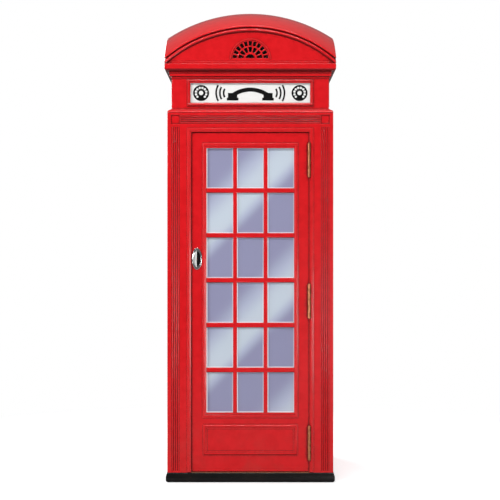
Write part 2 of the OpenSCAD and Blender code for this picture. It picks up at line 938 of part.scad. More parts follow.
module door_frame() color(red) {
    pocket_play = 0.3;
    difference() {
        union() {
            block([-leaf_half, leaf_y, leaf_z0], [leaf_half, leaf_back_y, leaf_z1]);
            sash_mouldings(leaf_y);
        }
        glass_opening(leaf_y - relief, leaf_back_y);
        at_pull(leaf_y - eps, leaf_y + cup_depth + pocket_play)
            lens_2d(cup_half_w + cup_wall + pocket_play, cup_half_h + 2 * cup_wall + pocket_play);
        for (z = hinge_zs) {
            block(
                [leaf_half - plate_t - plate_play, leaf_y - eps, z - hinge_h / 2 - 1],
                [leaf_half + eps, plate_back_y + 1, z + hinge_h / 2 + 1]
            );
            for (s = screw_spots(z))
                rod_x(s[0], s[1], screw_r + 0.05, leaf_half - 30, leaf_half);
        }
    }
}

module door_bars() color(red) glazing_bars();
module door_glass() color(pane_colour) panes();
module door_beads() color(red) glazing_beads();

// Cup pull: a proud oval rim, a sunk cup and a grip lip over its left half
module door_pull() color(steel) {
    rim_t = 4;
    lip_t = 3;
    difference() {
        union() {
            at_pull(leaf_y - rim_t, leaf_y) polygon(ellipse_points(pull_half_w, pull_half_h));
            at_pull(leaf_y - eps, leaf_y + cup_depth)
                lens_2d(cup_half_w + cup_wall, cup_half_h + 2 * cup_wall);
        }
        at_pull(leaf_y - rim_t - eps, leaf_y + cup_depth - cup_wall)
            lens_2d(cup_half_w, cup_half_h);
    }
    at_pull(leaf_y - rim_t, leaf_y - rim_t + lip_t) intersection() {
        lens_2d(cup_half_w + 1, cup_half_h + 1);
        translate([-2 * cup_half_w - 2, -cup_half_h - 2])
            square([2 * cup_half_w, 2 * cup_half_h + 4]);
    }
}

module inner_pull() color(steel) {
    x = pull_x + 15;
    bar_r = 9;
    bar_y = leaf_back_y + inner_pull_out;
    for (s = [-1, 1]) {
        z = pull_z + s * (inner_pull_h / 2 - bar_r);
        rod_y(x, z, bar_r - 1, leaf_back_y, bar_y);
        rod_y(x, z, 17, leaf_back_y, leaf_back_y + 4);
    }
    translate([x, bar_y, pull_z - inner_pull_h / 2]) cylinder(r = bar_r, h = inner_pull_h);
}

// ---------- hinges ----------

// Knuckles first, first + 2 and so on of one hinge, with their pin bore left out
module knuckle_row(z, first) {
    for (i = [first : 2 : knuckles - 1])
        translate([hinge_x, hinge_y, z - hinge_h / 2 + i * knuckle_pitch + knuckle_gap / 2])
            cylinder(r = knuckle_r, h = knuckle_pitch - knuckle_gap);
}

// Room around the other leaf's knuckles
module knuckle_room(z, first) {
    for (i = [first : 2 : knuckles - 1])
        translate([hinge_x, hinge_y, z - hinge_h / 2 + i * knuckle_pitch - knuckle_gap / 2])
            cylinder(r = knuckle_r + 0.6, h = knuckle_pitch + knuckle_gap);
}

// One hinge leaf: plate_x is its low X, own and other the first knuckles of each leaf
module hinge_leaf(z, plate_x, own, other) {
    difference() {
        union() {
            block(
                [plate_x, hinge_y, z - hinge_h / 2 + knuckle_gap / 2],
                [plate_x + plate_t, plate_back_y, z + hinge_h / 2 - knuckle_gap / 2]
            );
            knuckle_row(z, own);
        }
        knuckle_room(z, other);
        translate([hinge_x, hinge_y, z - hinge_h]) cylinder(r = pin_r + pin_play, h = 2 * hinge_h);
        for (s = screw_spots(z))
            rod_x(s[0], s[1], screw_r + 0.05, plate_x - eps, plate_x + plate_t + eps);
    }
}

module jamb_hinge_leaves() color(brass)
    for (z = hinge_zs) hinge_leaf(z, opening_half, 0, 1);

module door_hinge_leaves() color(brass)
    for (z = hinge_zs) hinge_leaf(z, leaf_half - plate_t, 1, 0);

module hinge_pins() color(brass) for (z = hinge_zs) translate([hinge_x, hinge_y, z]) {
    reach = hinge_h / 2 - knuckle_gap / 2;
    translate([0, 0, -reach]) cylinder(r = pin_r, h = 2 * reach);
    for (s = [0, 1]) mirror([0, 0, s]) translate([0, 0, reach]) {
        cylinder(r = pin_r + 3, h = 3);
        cylinder(r = pin_r + 1, h = 5);
    }
}

// Screws sit in the gap between leaf and jamb with shallow heads
module jamb_hinge_screws() color(brass) for (z = hinge_zs, s = screw_spots(z)) {
    rod_x(s[0], s[1], screw_r, opening_half, opening_half + 26);
    rod_x(s[0], s[1], screw_r + 3, opening_half - 0.9, opening_half);
}

module door_hinge_screws() color(brass) for (z = hinge_zs, s = screw_spots(z)) {
    rod_x(s[0], s[1], screw_r, leaf_half - 26, leaf_half);
    rod_x(s[0], s[1], screw_r + 3, leaf_half, leaf_half + 0.9);
}

module door_sill() color(brass)
    block([-opening_half, -half, plinth_h], [opening_half, -in_half, plinth_h + sill_t]);

// ---------- telephone ----------

module backboard() color([0.16, 0.09, 0.05])
    block([-board_half, board_y, shelf_z - 62], [board_half, in_half, case_top + 320]);

module payphone_case() color(black) {
    opening_w = cash_w / 2 - 10;
    opening_h = cash_h / 2 - 8;
    lug_x = cash_x + cash_w / 2 + 5;
    collar_t = 5;
    difference() {
        union() {
            block([-case_half, case_y, case_z], [case_half, board_y, case_top]);
            for (s = [-1, 1]) rod_y(s * button_x, button_z, button_r + 5, case_y - collar_t, case_y + eps);
            for (s = [0, 1]) translate([0, 0, cash_z]) mirror([0, 0, s])
                block([lug_x - 5, case_y - 13, cash_h / 2 + 0.5], [lug_x + 5, case_y + eps, cash_h / 2 + 8]);
        }
        block(
            [-case_half + case_wall, case_y + case_wall, case_z + case_wall],
            [case_half - case_wall, board_y + eps, case_top - case_wall]
        );
        for (s = [-1, 1])
            rod_y(s * button_x, button_z, stem_r + 0.05, case_y - collar_t - eps, case_y + 2 * case_wall);
        for (s = [-1 : 1]) coin_slot(s);
        block(
            [cup_x - cup_w / 2 - 0.5, case_y - eps, cup_z - cup_h / 2 - 0.5],
            [cup_x + cup_w / 2 + 0.5, case_y + 2 * case_wall, cup_z + cup_h / 2 + 0.5]
        );
        block(
            [cash_x - opening_w, case_y - eps, cash_z - opening_h],
            [cash_x + opening_w, case_y + 2 * case_wall, cash_z + opening_h]
        );
        rod_x(hook_y, hook_z, hook_r + 0.05, -case_half - eps, -case_half + 2 * case_wall);
        translate([lug_x, case_y - 8, cash_z - cash_h]) cylinder(r = 3.05, h = 2 * cash_h);
        translate([conduit_x, conduit_y, case_z - eps])
            cylinder(r = conduit_bore_r, h = case_h + 2 * eps);
    }
}

// One of the three coin slots, s = -1, 0 or 1
module coin_slot(s) {
    block(
        [s * 34 - 15 - 1.5 * s, case_y - 12, case_top - 36],
        [s * 34 + 15 + 1.5 * s, case_y + 2 * case_wall, case_top - 33]
    );
}

module coin_slot_plate() color(brass) difference() {
    block([-62, case_y - 4, case_top - 50], [62, case_y, case_top - 19]);
    for (s = [-1 : 1]) coin_slot(s);
}

module cash_door() color(black) {
    lug_x = cash_x + cash_w / 2 + 5;
    axis_y = case_y - 8;
    difference() {
        union() {
            block(
                [cash_x - cash_w / 2, case_y - cash_t, cash_z - cash_h / 2],
                [cash_x + cash_w / 2 - 1, case_y - 0.3, cash_z + cash_h / 2]
            );
            block(
                [cash_x + cash_w / 2 - 3, axis_y - 3, cash_z - cash_h / 2],
                [lug_x, axis_y + 3, cash_z + cash_h / 2]
            );
            translate([lug_x, axis_y, cash_z - cash_h / 2]) cylinder(r = 4, h = cash_h);
            translate([lug_x, axis_y, cash_z - cash_h / 2 - 7]) cylinder(r = 3, h = cash_h + 14);
        }
        rod_y(cash_x - 45, cash_z, lock_r + 0.05, case_y - 2 * cash_t, case_y + eps);
    }
}

module cash_lock() color(steel) difference() {
    union() {
        rod_y(cash_x - 45, cash_z, lock_r, case_y - cash_t - 3, case_y + 5);
        rod_y(cash_x - 45, cash_z, lock_r + 3, case_y - cash_t - 3, case_y - cash_t);
    }
    block([cash_x - 46, case_y - 14, cash_z - 5], [cash_x - 44, case_y - cash_t + 2, cash_z + 5]);
}

module push_button(s) {
    cap_back = case_y - 5 - button_travel - 1;
    rod_y(s * button_x, button_z, button_r, cap_back - 10, cap_back);
    rod_y(s * button_x, button_z, stem_r, cap_back - eps, case_y + 20);
}

module button_a() color(steel) push_button(-1);
module button_b() color(steel) push_button(1);

module dial_base() color(black) difference() {
    union() {
        rod_y(0, dial_z, dial_r + 7, case_y - dial_base_t + 3, case_y);
        rod_y(0, dial_z, dial_r + 5, case_y - dial_base_t, case_y);
    }
    rod_y(0, dial_z, spindle_r + 0.05, case_y - 2 * dial_base_t, case_y + eps);
}

module dial_wheel() color(steel) {
    back = case_y - dial_base_t - wheel_gap;
    hole_ring = dial_r - 11;
    difference() {
        rod_y(0, dial_z, dial_r, back - wheel_t, back);
        for (i = [0 : 9])
            rod_y(hole_ring * cos(60 + 30 * i), dial_z + hole_ring * sin(60 + 30 * i), 6.5,
                back - 2 * wheel_t, back + eps);
    }
    rod_y(0, dial_z, 13, back - wheel_t - 2, back);
    rod_y(0, dial_z, spindle_r, back - eps, case_y - 0.5);
}

module finger_stop() color(steel) {
    front = case_y - dial_base_t - wheel_gap - wheel_t;
    translate([0, 0, dial_z]) rotate([0, 57, 0]) {
        block([dial_r + 1.2, front - 3, -3], [dial_r + 4.4, case_y - dial_base_t, 3]);
        block([dial_r - 17, front - 3, -3], [dial_r + 4.4, front - 1, 3]);
    }
}

module switch_hook() color(steel) {
    fork_half = prong_gap / 2 + prong_w;
    rod_x(hook_y, hook_z, hook_r, hook_x, -case_half + 14);
    block(
        [hook_x - fork_half, hook_y - 10, hook_z - prong_t / 2],
        [hook_x + fork_half, hook_y + 4, hook_z + prong_t / 2]
    );
    for (s = [0, 1]) translate([hook_x, hook_y, hook_z]) mirror([s, 0, 0])
        block([prong_gap / 2, -hook_reach, -prong_t / 2], [fork_half, -9, prong_t / 2]);
}

module handset() color(black) {
    seat_z = hook_z + prong_t / 2 + seat_gap;
    ear_r = 27;
    mouth_z = hook_z - 170;
    grip_r = 11;
    translate([hook_x, handset_y, 0]) {
        translate([0, 0, mouth_z]) cylinder(r = grip_r, h = seat_z - mouth_z + 20);
        translate([0, 0, seat_z]) cylinder(r = 22, h = 9);
        rod_y(0, seat_z + 9 + ear_r - 8, ear_r, -24, 13);
        rod_y(0, mouth_z, ear_r - 2, -30, 12);
        translate([0, 0, mouth_z - ear_r - 12]) cylinder(r = 5, h = 20);
    }
}

module coin_return_cup() color(steel) {
    wall = 3;
    depth = 56;
    difference() {
        union() {
            block(
                [cup_x - cup_w / 2, case_y - eps, cup_z - cup_h / 2],
                [cup_x + cup_w / 2, case_y + depth, cup_z + cup_h / 2]
            );
            block(
                [cup_x - cup_w / 2 - 6, case_y - 4, cup_z - cup_h / 2 - 6],
                [cup_x + cup_w / 2 + 6, case_y, cup_z + cup_h / 2 + 6]
            );
        }
        block(
            [cup_x - cup_w / 2 + wall, case_y - 5, cup_z - cup_h / 2 + wall],
            [cup_x + cup_w / 2 - wall, case_y + depth - wall, cup_z + cup_h / 2 - wall]
        );
        rod_x(flap_y, flap_z, flap_pin_r + 0.05, cup_x - cup_w, cup_x + cup_w);
    }
}

module coin_return_flap() color(steel) {
    side_play = 1;
    edge = cup_w / 2 - 3 - side_play;
    block(
        [cup_x - edge, flap_y - flap_t / 2, cup_z - cup_h / 2 + 5],
        [cup_x + edge, flap_y + flap_t / 2, flap_z]
    );
    rod_x(flap_y, flap_z, flap_pin_r, cup_x - cup_w / 2 + 0.5, cup_x + cup_w / 2 - 0.5);
    rod_x(flap_y, flap_z, flap_pin_r + 1, cup_x - edge, cup_x + edge);
}

module parcel_shelf() color([0.16, 0.09, 0.05]) difference() {
    inset = 10;
    bracket_t = 12;
    drop = 60;
    union() {
        block(
            [-board_half + inset, board_y - shelf_d, shelf_z],
            [board_half - inset, board_y, shelf_z + shelf_t]
        );
        for (s = [-1, 1]) translate([s * (board_half - 50) - bracket_t / 2, board_y, shelf_z])
            rotate([90, 0, 90]) linear_extrude(bracket_t)
                polygon([[0, 0], [0, -drop], [-12, -drop], [-shelf_d + 40, -12], [-shelf_d + 40, 0]]);
    }
    translate([conduit_x, conduit_y, shelf_z - eps])
        cylinder(r = conduit_r + 1, h = shelf_t + 2 * eps);
}

module notice_frame() color(steel) {
    x = -30;
    w = 200;
    h = 240;
    z = case_top + 60;
    rim = 14;
    difference() {
        block([x - w / 2, board_y - 10, z], [x + w / 2, board_y, z + h]);
        block([x - w / 2 + rim, board_y - 11, z + rim], [x + w / 2 - rim, board_y - 4, z + h - rim]);
    }
}

plinth();
floor_slab();
front_frame();
left_side_frame();
right_side_frame();
back_panel();
left_window_bars();
right_window_bars();
left_window_glass();
right_window_glass();
window_beads();
ledge_ring();
frieze_ring();
sign_glasses();
sign_symbols();
sign_retainers();
cornice_ring();
front_pediment();
left_pediment();
right_pediment();
back_pediment();
roof_dome();
vent_baffles();
frame_bolts();
ceiling_panel();
lamp_base();
lamp_bulb();
lamp_bowl();
cable_conduit();
conduit_clips();
door_frame();
door_bars();
door_glass();
door_beads();
door_pull();
inner_pull();
jamb_hinge_leaves();
door_hinge_leaves();
hinge_pins();
jamb_hinge_screws();
door_hinge_screws();
door_sill();
backboard();
payphone_case();
cash_door();
cash_lock();
coin_slot_plate();
button_a();
button_b();
dial_base();
dial_wheel();
finger_stop();
switch_hook();
handset();
coin_return_cup();
coin_return_flap();
parcel_shelf();
notice_frame();
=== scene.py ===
"""Looks of the street telephone kiosk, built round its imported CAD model.

Each sub-assembly is a class that builds its own meshes and dresses them in procedural finishes.
Lengths are metres, in the frame of the CAD model: +X right, +Y back, +Z up, the door in front.
"""

import logging
import math
from dataclasses import dataclass, field
from enum import Enum
from typing import Any, Iterable, Optional, Sequence, Union

import bmesh
import bpy
from mathutils import Matrix, Vector


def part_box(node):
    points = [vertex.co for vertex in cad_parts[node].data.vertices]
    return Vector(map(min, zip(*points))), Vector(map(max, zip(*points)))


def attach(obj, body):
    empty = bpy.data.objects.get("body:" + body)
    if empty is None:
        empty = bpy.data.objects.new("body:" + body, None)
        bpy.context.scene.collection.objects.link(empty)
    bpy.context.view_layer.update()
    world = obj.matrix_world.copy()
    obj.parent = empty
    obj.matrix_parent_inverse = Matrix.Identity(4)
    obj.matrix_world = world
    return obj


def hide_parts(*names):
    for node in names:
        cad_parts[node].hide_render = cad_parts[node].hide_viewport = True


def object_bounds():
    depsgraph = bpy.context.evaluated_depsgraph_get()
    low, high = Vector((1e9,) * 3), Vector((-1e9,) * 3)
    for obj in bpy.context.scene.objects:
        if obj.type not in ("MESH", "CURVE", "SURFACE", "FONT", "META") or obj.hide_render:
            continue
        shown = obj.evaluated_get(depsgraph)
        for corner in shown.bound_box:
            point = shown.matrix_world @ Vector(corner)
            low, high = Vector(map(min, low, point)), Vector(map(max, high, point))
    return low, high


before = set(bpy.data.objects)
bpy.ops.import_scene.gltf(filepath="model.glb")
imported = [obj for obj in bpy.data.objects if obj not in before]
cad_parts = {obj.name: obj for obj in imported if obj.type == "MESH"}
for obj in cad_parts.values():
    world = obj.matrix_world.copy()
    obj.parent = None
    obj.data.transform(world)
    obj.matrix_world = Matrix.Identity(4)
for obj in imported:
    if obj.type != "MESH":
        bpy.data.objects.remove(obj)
CAD_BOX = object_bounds()

MM = 0.001
LOG = logging.getLogger("kiosk")
RGB = tuple[float, float, float]
Pair = tuple[float, float]
Node = bpy.types.Node
Socket = bpy.types.NodeSocket
Thing = bpy.types.Object
Number = Union[int, float]
Value = Union[float, Sequence[float], Socket]


class Body(Enum):
    """The rigid bodies of the kiosk."""

    BOOTH = "booth"
    DOOR = "door"
    CASH_DOOR = "cash_door"
    CASH_LOCK = "cash_lock"
    BUTTON_A = "button_a"
    BUTTON_B = "button_b"
    DIAL = "dial"
    HOOK = "hook"
    HANDSET = "handset"
    RETURN_FLAP = "return_flap"


class Slot(Enum):
    """The material slots, one named by each finish."""

    RED_PAINT = "red_paint"
    BLACK_PAINT = "black_paint"
    CONCRETE = "concrete"
    PANE_GLASS = "pane_glass"
    OPAL_GLASS = "opal_glass"
    SIGN_BLACK = "sign_black"
    PLATED_STEEL = "plated_steel"
    CHROME = "chrome"
    BRASS = "brass"
    CREAM_ENAMEL = "cream_enamel"
    PORCELAIN = "porcelain"
    BULB_GLASS = "bulb_glass"
    BLACK_ENAMEL = "black_enamel"
    BAKELITE = "bakelite"
    VARNISHED_WOOD = "varnished_wood"


class Axis(Enum):
    """An axis that a turned piece is spun about, as the matrix that brings +Z onto it."""

    X = Matrix.Rotation(math.pi / 2, 4, "Y")
    FRONT = Matrix.Rotation(math.pi / 2, 4, "X")
    Z = Matrix.Identity(4)


def srgb(red: int, green: int, blue: int) -> RGB:
    """Turns a display colour into the linear colour that shaders use.

    Args:
        red: red from 0 to 255.
        green: green from 0 to 255.
        blue: blue from 0 to 255.

    Returns:
        The linear colour.
    """
    def linear(level: float) -> float:
        """One channel from 0 to 1, made linear."""
        return level / 12.92 if level <= 0.04045 else ((level + 0.055) / 1.055) ** 2.4

    return linear(red / 255), linear(green / 255), linear(blue / 255)


class Tree:
    """A node tree under construction, for shaders and for geometry."""

    def __init__(self, tree: bpy.types.NodeTree) -> None:
        """Wraps a node tree."""
        self.tree = tree

    def feed(self, socket: Socket, value: Value) -> None:
        """Links a socket to another, or sets its own value.

        Args:
            socket: the input to feed.
            value: an output socket, a number, or a vector or colour.
        """
        if isinstance(value, Socket):
            self.tree.links.new(value, socket)
        elif socket.type == "RGBA" and len(value) == 3:
            socket.default_value = (*value, 1.0)
        else:
            socket.default_value = value

    def add(self, kind: str, feeds: Optional[dict[Union[str, int], Value]] = None, **settings: Any) -> Node:
        """Adds a node.

        Args:
            kind: the node's type name.
            feeds: what each input takes, by name or index.
            settings: properties of the node itself.

        Returns:
            The new node.
        """
        node = self.tree.nodes.new(kind)
        for name, value in settings.items():
            setattr(node, name, value)
        for key, value in (feeds or {}).items():
            self.feed(node.inputs[key], value)
        return node

    def math(self, operation: str, *values: Value) -> Socket:
        """Adds a math node, clamped to nothing, and returns its output."""
        return self.add("ShaderNodeMath", dict(enumerate(values)), operation=operation).outputs[0]

    def ramp(self, value: Value, low: float, high: float, start: float = 0.0, end: float = 1.0) -> Socket:
        """Maps a value smoothly from one range to another.

        Args:
            value: what is mapped.
            low: where the ramp starts.
            high: where it ends.
            start: the result at and before low.
            end: the result at and after high.

        Returns:
            The mapped value's socket.
        """
        feeds = {"Value": value, 1: low, 2: high, 3: start, 4: end}
        return self.add("ShaderNodeMapRange", feeds, interpolation_type="SMOOTHSTEP").outputs[0]

    def mix(self, factor: Value, first: Value, second: Value) -> Socket:
        """Mixes two colours.

        Args:
            factor: how much of the second colour.
            first: the first colour.
            second: the second colour.

        Returns:
            The mixed colour's socket.
        """
        node = self.add("ShaderNodeMix", data_type="RGBA")
        for index, value in ((0, factor), (6, first), (7, second)):
            self.feed(node.inputs[index], value)
        return node.outputs[2]

    def noise(self, vector: Value, scale: Value, detail: float = 3.0, rough: float = 0.5) -> Socket:
        """Adds fractal noise.

        Args:
            vector: where the noise is read.
            scale: how many features there are to a metre.
            detail: how many octaves.
            rough: how strong the fine octaves are.

        Returns:
            The noise's socket, from 0 to 1.
        """
        feeds = {"Vector": vector, "Scale": scale, "Detail": detail, "Roughness": rough}
        return self.add("ShaderNodeTexNoise", feeds).outputs[0]

    def place(self, stretch: Sequence[float] = (1, 1, 1), turn: Sequence[float] = (0, 0, 0)) -> Socket:
        """Reads Object coordinates through a mapping.

        Args:
            stretch: the scale along each axis.
            turn: the turn about each axis, in radians.

        Returns:
            The mapped coordinates' socket.
        """
        coordinates = self.add("ShaderNodeTexCoord").outputs["Object"]
        feeds = {"Vector": coordinates, "Scale": stretch, "Rotation": turn}
        return self.add("ShaderNodeMapping", feeds).outputs[0]

    def group(self, effect: "Effect", **feeds: Value) -> Node:
        """Places a shared effect.

        Args:
            effect: which effect.
            feeds: the group's inputs, with spaces written as underscores.

        Returns:
            The group node.
        """
        named = {name.replace("_", " "): value for name, value in feeds.items()}
        node = self.add("ShaderNodeGroup", node_tree=effect.group())
        for name, value in named.items():
            self.feed(node.inputs[name], value)
        return node


class Effect(Enum):
    """A surface effect that more than one finish uses, each one a shader node group."""

    EDGE_WEAR_AND_HIGHLIGHT = "edge_wear"
    GRIME = "grime"
    BRUSHWORK = "brushwork"
    SCRATCHES = "scratches"
    PITTING = "pitting"
    CREVICE_SHADE = "crevice"
    SLOPE_SHADING = "weather"
    SHEET_STREAKS = "sheet_streaks"
    GRAIN = "grain"

    def group(self) -> bpy.types.NodeTree:
        """Builds the group once, and returns it after that."""
        made = bpy.data.node_groups.get(self.value)
        if made is None:
            made = bpy.data.node_groups.new(self.value, "ShaderNodeTree")
            getattr(EffectMaker(made), self.value)()
        return made


class EffectMaker(Tree):
    """Builds the shader node groups that the finishes share."""

    def __init__(self, tree: bpy.types.NodeTree) -> None:
        """Starts a group with its input and output nodes."""
        super().__init__(tree)
        self.entry = self.add("NodeGroupInput")
        self.exit = self.add("NodeGroupOutput")

    def take(self, name: str, default: float) -> Socket:
        """Adds a number input to the group.

        Args:
            name: the input's name.
            default: its value where nothing is fed.

        Returns:
            The socket inside the group.
        """
        socket = self.tree.interface.new_socket(name, in_out="INPUT", socket_type="NodeSocketFloat")
        socket.default_value = default
        return self.entry.outputs[name]

    def give(self, name: str, value: Socket) -> None:
        """Adds a number output to the group.

        Args:
            name: the output's name.
            value: what it puts out.
        """
        self.tree.interface.new_socket(name, in_out="OUTPUT", socket_type="NodeSocketFloat")
        self.feed(self.exit.inputs[name], value)

    def edge_wear(self) -> None:
        """Rubbed arrises: where the rounded normal leaves the flat one, broken up by noise. The unbroken line,
        Arris, also carries a painted highlight along every arris.
        """
        width, amount, scale = self.take("Width", 0.004), self.take("Amount", 0.5), self.take("Scale", 30.0)
        rounded = self.add("ShaderNodeBevel", {"Radius": width}, samples=4).outputs[0]
        flat = self.add("ShaderNodeNewGeometry").outputs["Normal"]
        agree = self.add("ShaderNodeVectorMath", {0: rounded, 1: flat}, operation="DOT_PRODUCT")
        arris = self.ramp(self.math("SUBTRACT", 1.0, agree.outputs["Value"]), 0.01, 0.16)
        patch = self.ramp(self.noise(self.place(), scale, 5.0, 0.6), 0.52, 0.68)
        self.give("Arris", arris)
        self.give("Mask", self.math("MULTIPLY", self.math("MULTIPLY", arris, patch), amount))

    def grime(self) -> None:
        """Street dirt: a film in soft blotches, heavier towards the ground, with a few rain runs."""
        low, high, amount = self.take("Low", 0.0), self.take("High", 0.6), self.take("Amount", 0.3)
        place = self.place()
        height = self.add("ShaderNodeSeparateXYZ", {0: place}).outputs["Z"]
        splash = self.math("SUBTRACT", 1.0, self.ramp(height, low, high))
        blotch = self.ramp(self.noise(place, 7.0, 6.0, 0.6), 0.42, 0.75)
        runs = self.ramp(self.noise(self.place((60, 60, 1.6)), 1.0, 3.0), 0.55, 0.8)
        film = self.math("ADD", self.math("MULTIPLY", blotch, 0.45), self.math("MULTIPLY", runs, 0.25))
        ground = self.math("MULTIPLY", splash, self.math("ADD", blotch, 0.25))
        self.give("Film", self.math("MULTIPLY", film, amount))
        self.give("Splash", self.math("MULTIPLY", ground, amount))

    def brushwork(self) -> None:
        """Brushed and flowed-out gloss paint: faint brush lines over a slow wave, with dust nibs."""
        scale = self.take("Scale", 1.0)
        place = self.place()
        lines = self.noise(self.place((420, 420, 18)), scale, 2.0)
        wave = self.noise(place, self.math("MULTIPLY", scale, 22.0), 2.0)
        nibs = self.ramp(self.noise(place, self.math("MULTIPLY", scale, 380.0), 1.0), 0.74, 0.82)
        soft = self.math("ADD", self.math("MULTIPLY", lines, 0.35), self.math("MULTIPLY", wave, 0.9))
        self.give("Height", self.math("ADD", soft, self.math("MULTIPLY", nibs, 0.5)))
        self.give("Tone", wave)

    def crevice(self) -> None:
        """Painted shade in the quirks of mouldings and under overhangs, from ambient occlusion with a ragged
        edge.
        """
        reach = self.take("Reach", 0.02)
        shelter = self.add("ShaderNodeAmbientOcclusion", {"Distance": reach}, samples=8).outputs["AO"]
        ragged = self.math("MULTIPLY", self.noise(self.place(), 60.0, 3.0), 0.25)
        closed = self.math("SUBTRACT", 1.0, self.math("ADD", shelter, self.math("SUBTRACT", ragged, 0.1)))
        self.give("Mask", self.ramp(closed, 0.06, 0.38))

    def weather(self) -> None:
        """Painted shade on what faces down, and a painted highlight on what faces the sky."""
        normal = self.add("ShaderNodeNewGeometry").outputs["Normal"]
        height = self.add("ShaderNodeSeparateXYZ", {0: normal}).outputs["Z"]
        self.give("Under Shade", self.ramp(self.math("MULTIPLY", height, -1.0), 0.04, 0.55))
        self.give("Top", self.ramp(height, 0.25, 0.95))

    def scratches(self) -> None:
        """Fine handling scratches and fingered dulling on metal and moulded plastic."""
        scale = self.take("Scale", 1.0)
        place = self.place()
        first = self.noise(self.place((900, 60, 60), (0.4, 0.9, 0.3)), scale, 2.0)
        second = self.noise(self.place((70, 70, 800), (0.2, 0.5, 1.1)), scale, 2.0)
        lines = self.ramp(self.math("MAXIMUM", first, second), 0.62, 0.72)
        dull = self.ramp(self.noise(place, self.math("MULTIPLY", scale, 45.0), 4.0, 0.6), 0.35, 0.7)
        self.give("Lines", lines)
        self.give("Dull", dull)

    def pitting(self) -> None:
        """Cast and troweled mineral surface: aggregate, pores and slow stains."""
        scale = self.take("Scale", 1.0)
        place = self.place()
        fine = self.math("MULTIPLY", scale, 210.0)
        cells = self.add("ShaderNodeTexVoronoi", {"Vector": place, "Scale": fine})
        stone = self.ramp(cells.outputs["Distance"], 0.1, 0.6)
        pores = self.ramp(self.noise(place, self.math("MULTIPLY", scale, 160.0), 3.0), 0.28, 0.4)
        self.give("Stone", stone)
        raised = self.math("MULTIPLY", stone, 0.2)
        self.give("Height", self.math("ADD", self.math("MULTIPLY", pores, 0.8), raised))
        self.give("Stain", self.noise(place, self.math("MULTIPLY", scale, 5.0), 5.0, 0.6))

    def sheet_streaks(self) -> None:
        """Slanting bands of light that run on from pane to pane, with the ripple of drawn glass."""
        slope, pitch, shift = self.take("Slope", 1.0), self.take("Pitch", 1.0), self.take("Shift", 0.0)
        place = self.place()
        axes = self.add("ShaderNodeSeparateXYZ", {0: place})
        across = self.math("ADD", axes.outputs["X"], axes.outputs["Y"])
        slant = self.math("SUBTRACT", axes.outputs["Z"], self.math("MULTIPLY", across, slope))
        phase = self.math("FRACT", self.math("ADD", self.math("MULTIPLY", slant, pitch), shift))
        rise = self.ramp(phase, 0.03, 0.25)
        fall = self.math("SUBTRACT", 1.0, self.ramp(phase, 0.26, 0.7))
        self.give("Band", self.math("MULTIPLY", rise, fall))
        self.give("Ripple", self.noise(self.place((9, 9, 2.5)), 1.0, 2.0))

    def grain(self) -> None:
        """Timber sawn along X: growth rings stretched into figure, with open pores."""
        scale = self.take("Scale", 1.0)
        rings = self.add("ShaderNodeTexWave", {
            "Vector": self.place((0.7, 9, 9)), "Scale": scale, "Distortion": 7.0, "Detail": 3.0,
            "Detail Scale": 1.6,
        }, bands_direction="Z").outputs[1]
        pores = self.ramp(self.noise(self.place((26, 700, 700)), scale, 2.0), 0.6, 0.72)
        self.give("Figure", rings)
        self.give("Pores", pores)


@dataclass(frozen=True)
class Finish:
    """A surface finish. Its material is made once and shared by every piece that has it."""

    name: str
    slot: Slot

    def material(self) -> bpy.types.Material:
        """Makes the material, or returns the one already made."""
        made = bpy.data.materials.get(self.name)
        if made is None:
            made = bpy.data.materials.new(self.name)
            made.use_nodes = True
            made.node_tree.nodes.clear()
            tree = Tree(made.node_tree)
            shader = tree.add("ShaderNodeBsdfPrincipled")
            self.surface(tree, shader)
            tree.add("ShaderNodeOutputMaterial", {"Surface": shader.outputs[0]})
        return made

    def surface(self, tree: Tree, shader: Node) -> None:
        """Sets the shader up. Each kind of finish does this its own way."""
        raise NotImplementedError

    @staticmethod
    def set_plain(shader: Node, **levels: Value) -> None:
        """Sets values that are the same all over, on the shader's own sockets.

        Args:
            shader: the shader node.
            levels: the socket names, with spaces written as underscores.
        """
        for name, value in levels.items():
            shader.inputs[name.replace("_", " ")].default_value = value

    @staticmethod
    def bump(tree: Tree, shader: Node, height: Value, depth: float) -> None:
        """Presses a height pattern into the surface.

        Args:
            tree: the material's tree.
            shader: the shader node.
            height: the pattern, from 0 to 1.
            depth: how deep the pattern is, in metres.
        """
        relief = tree.add("ShaderNodeBump", {"Height": height, "Distance": depth})
        tree.feed(shader.inputs["Normal"], relief.outputs[0])


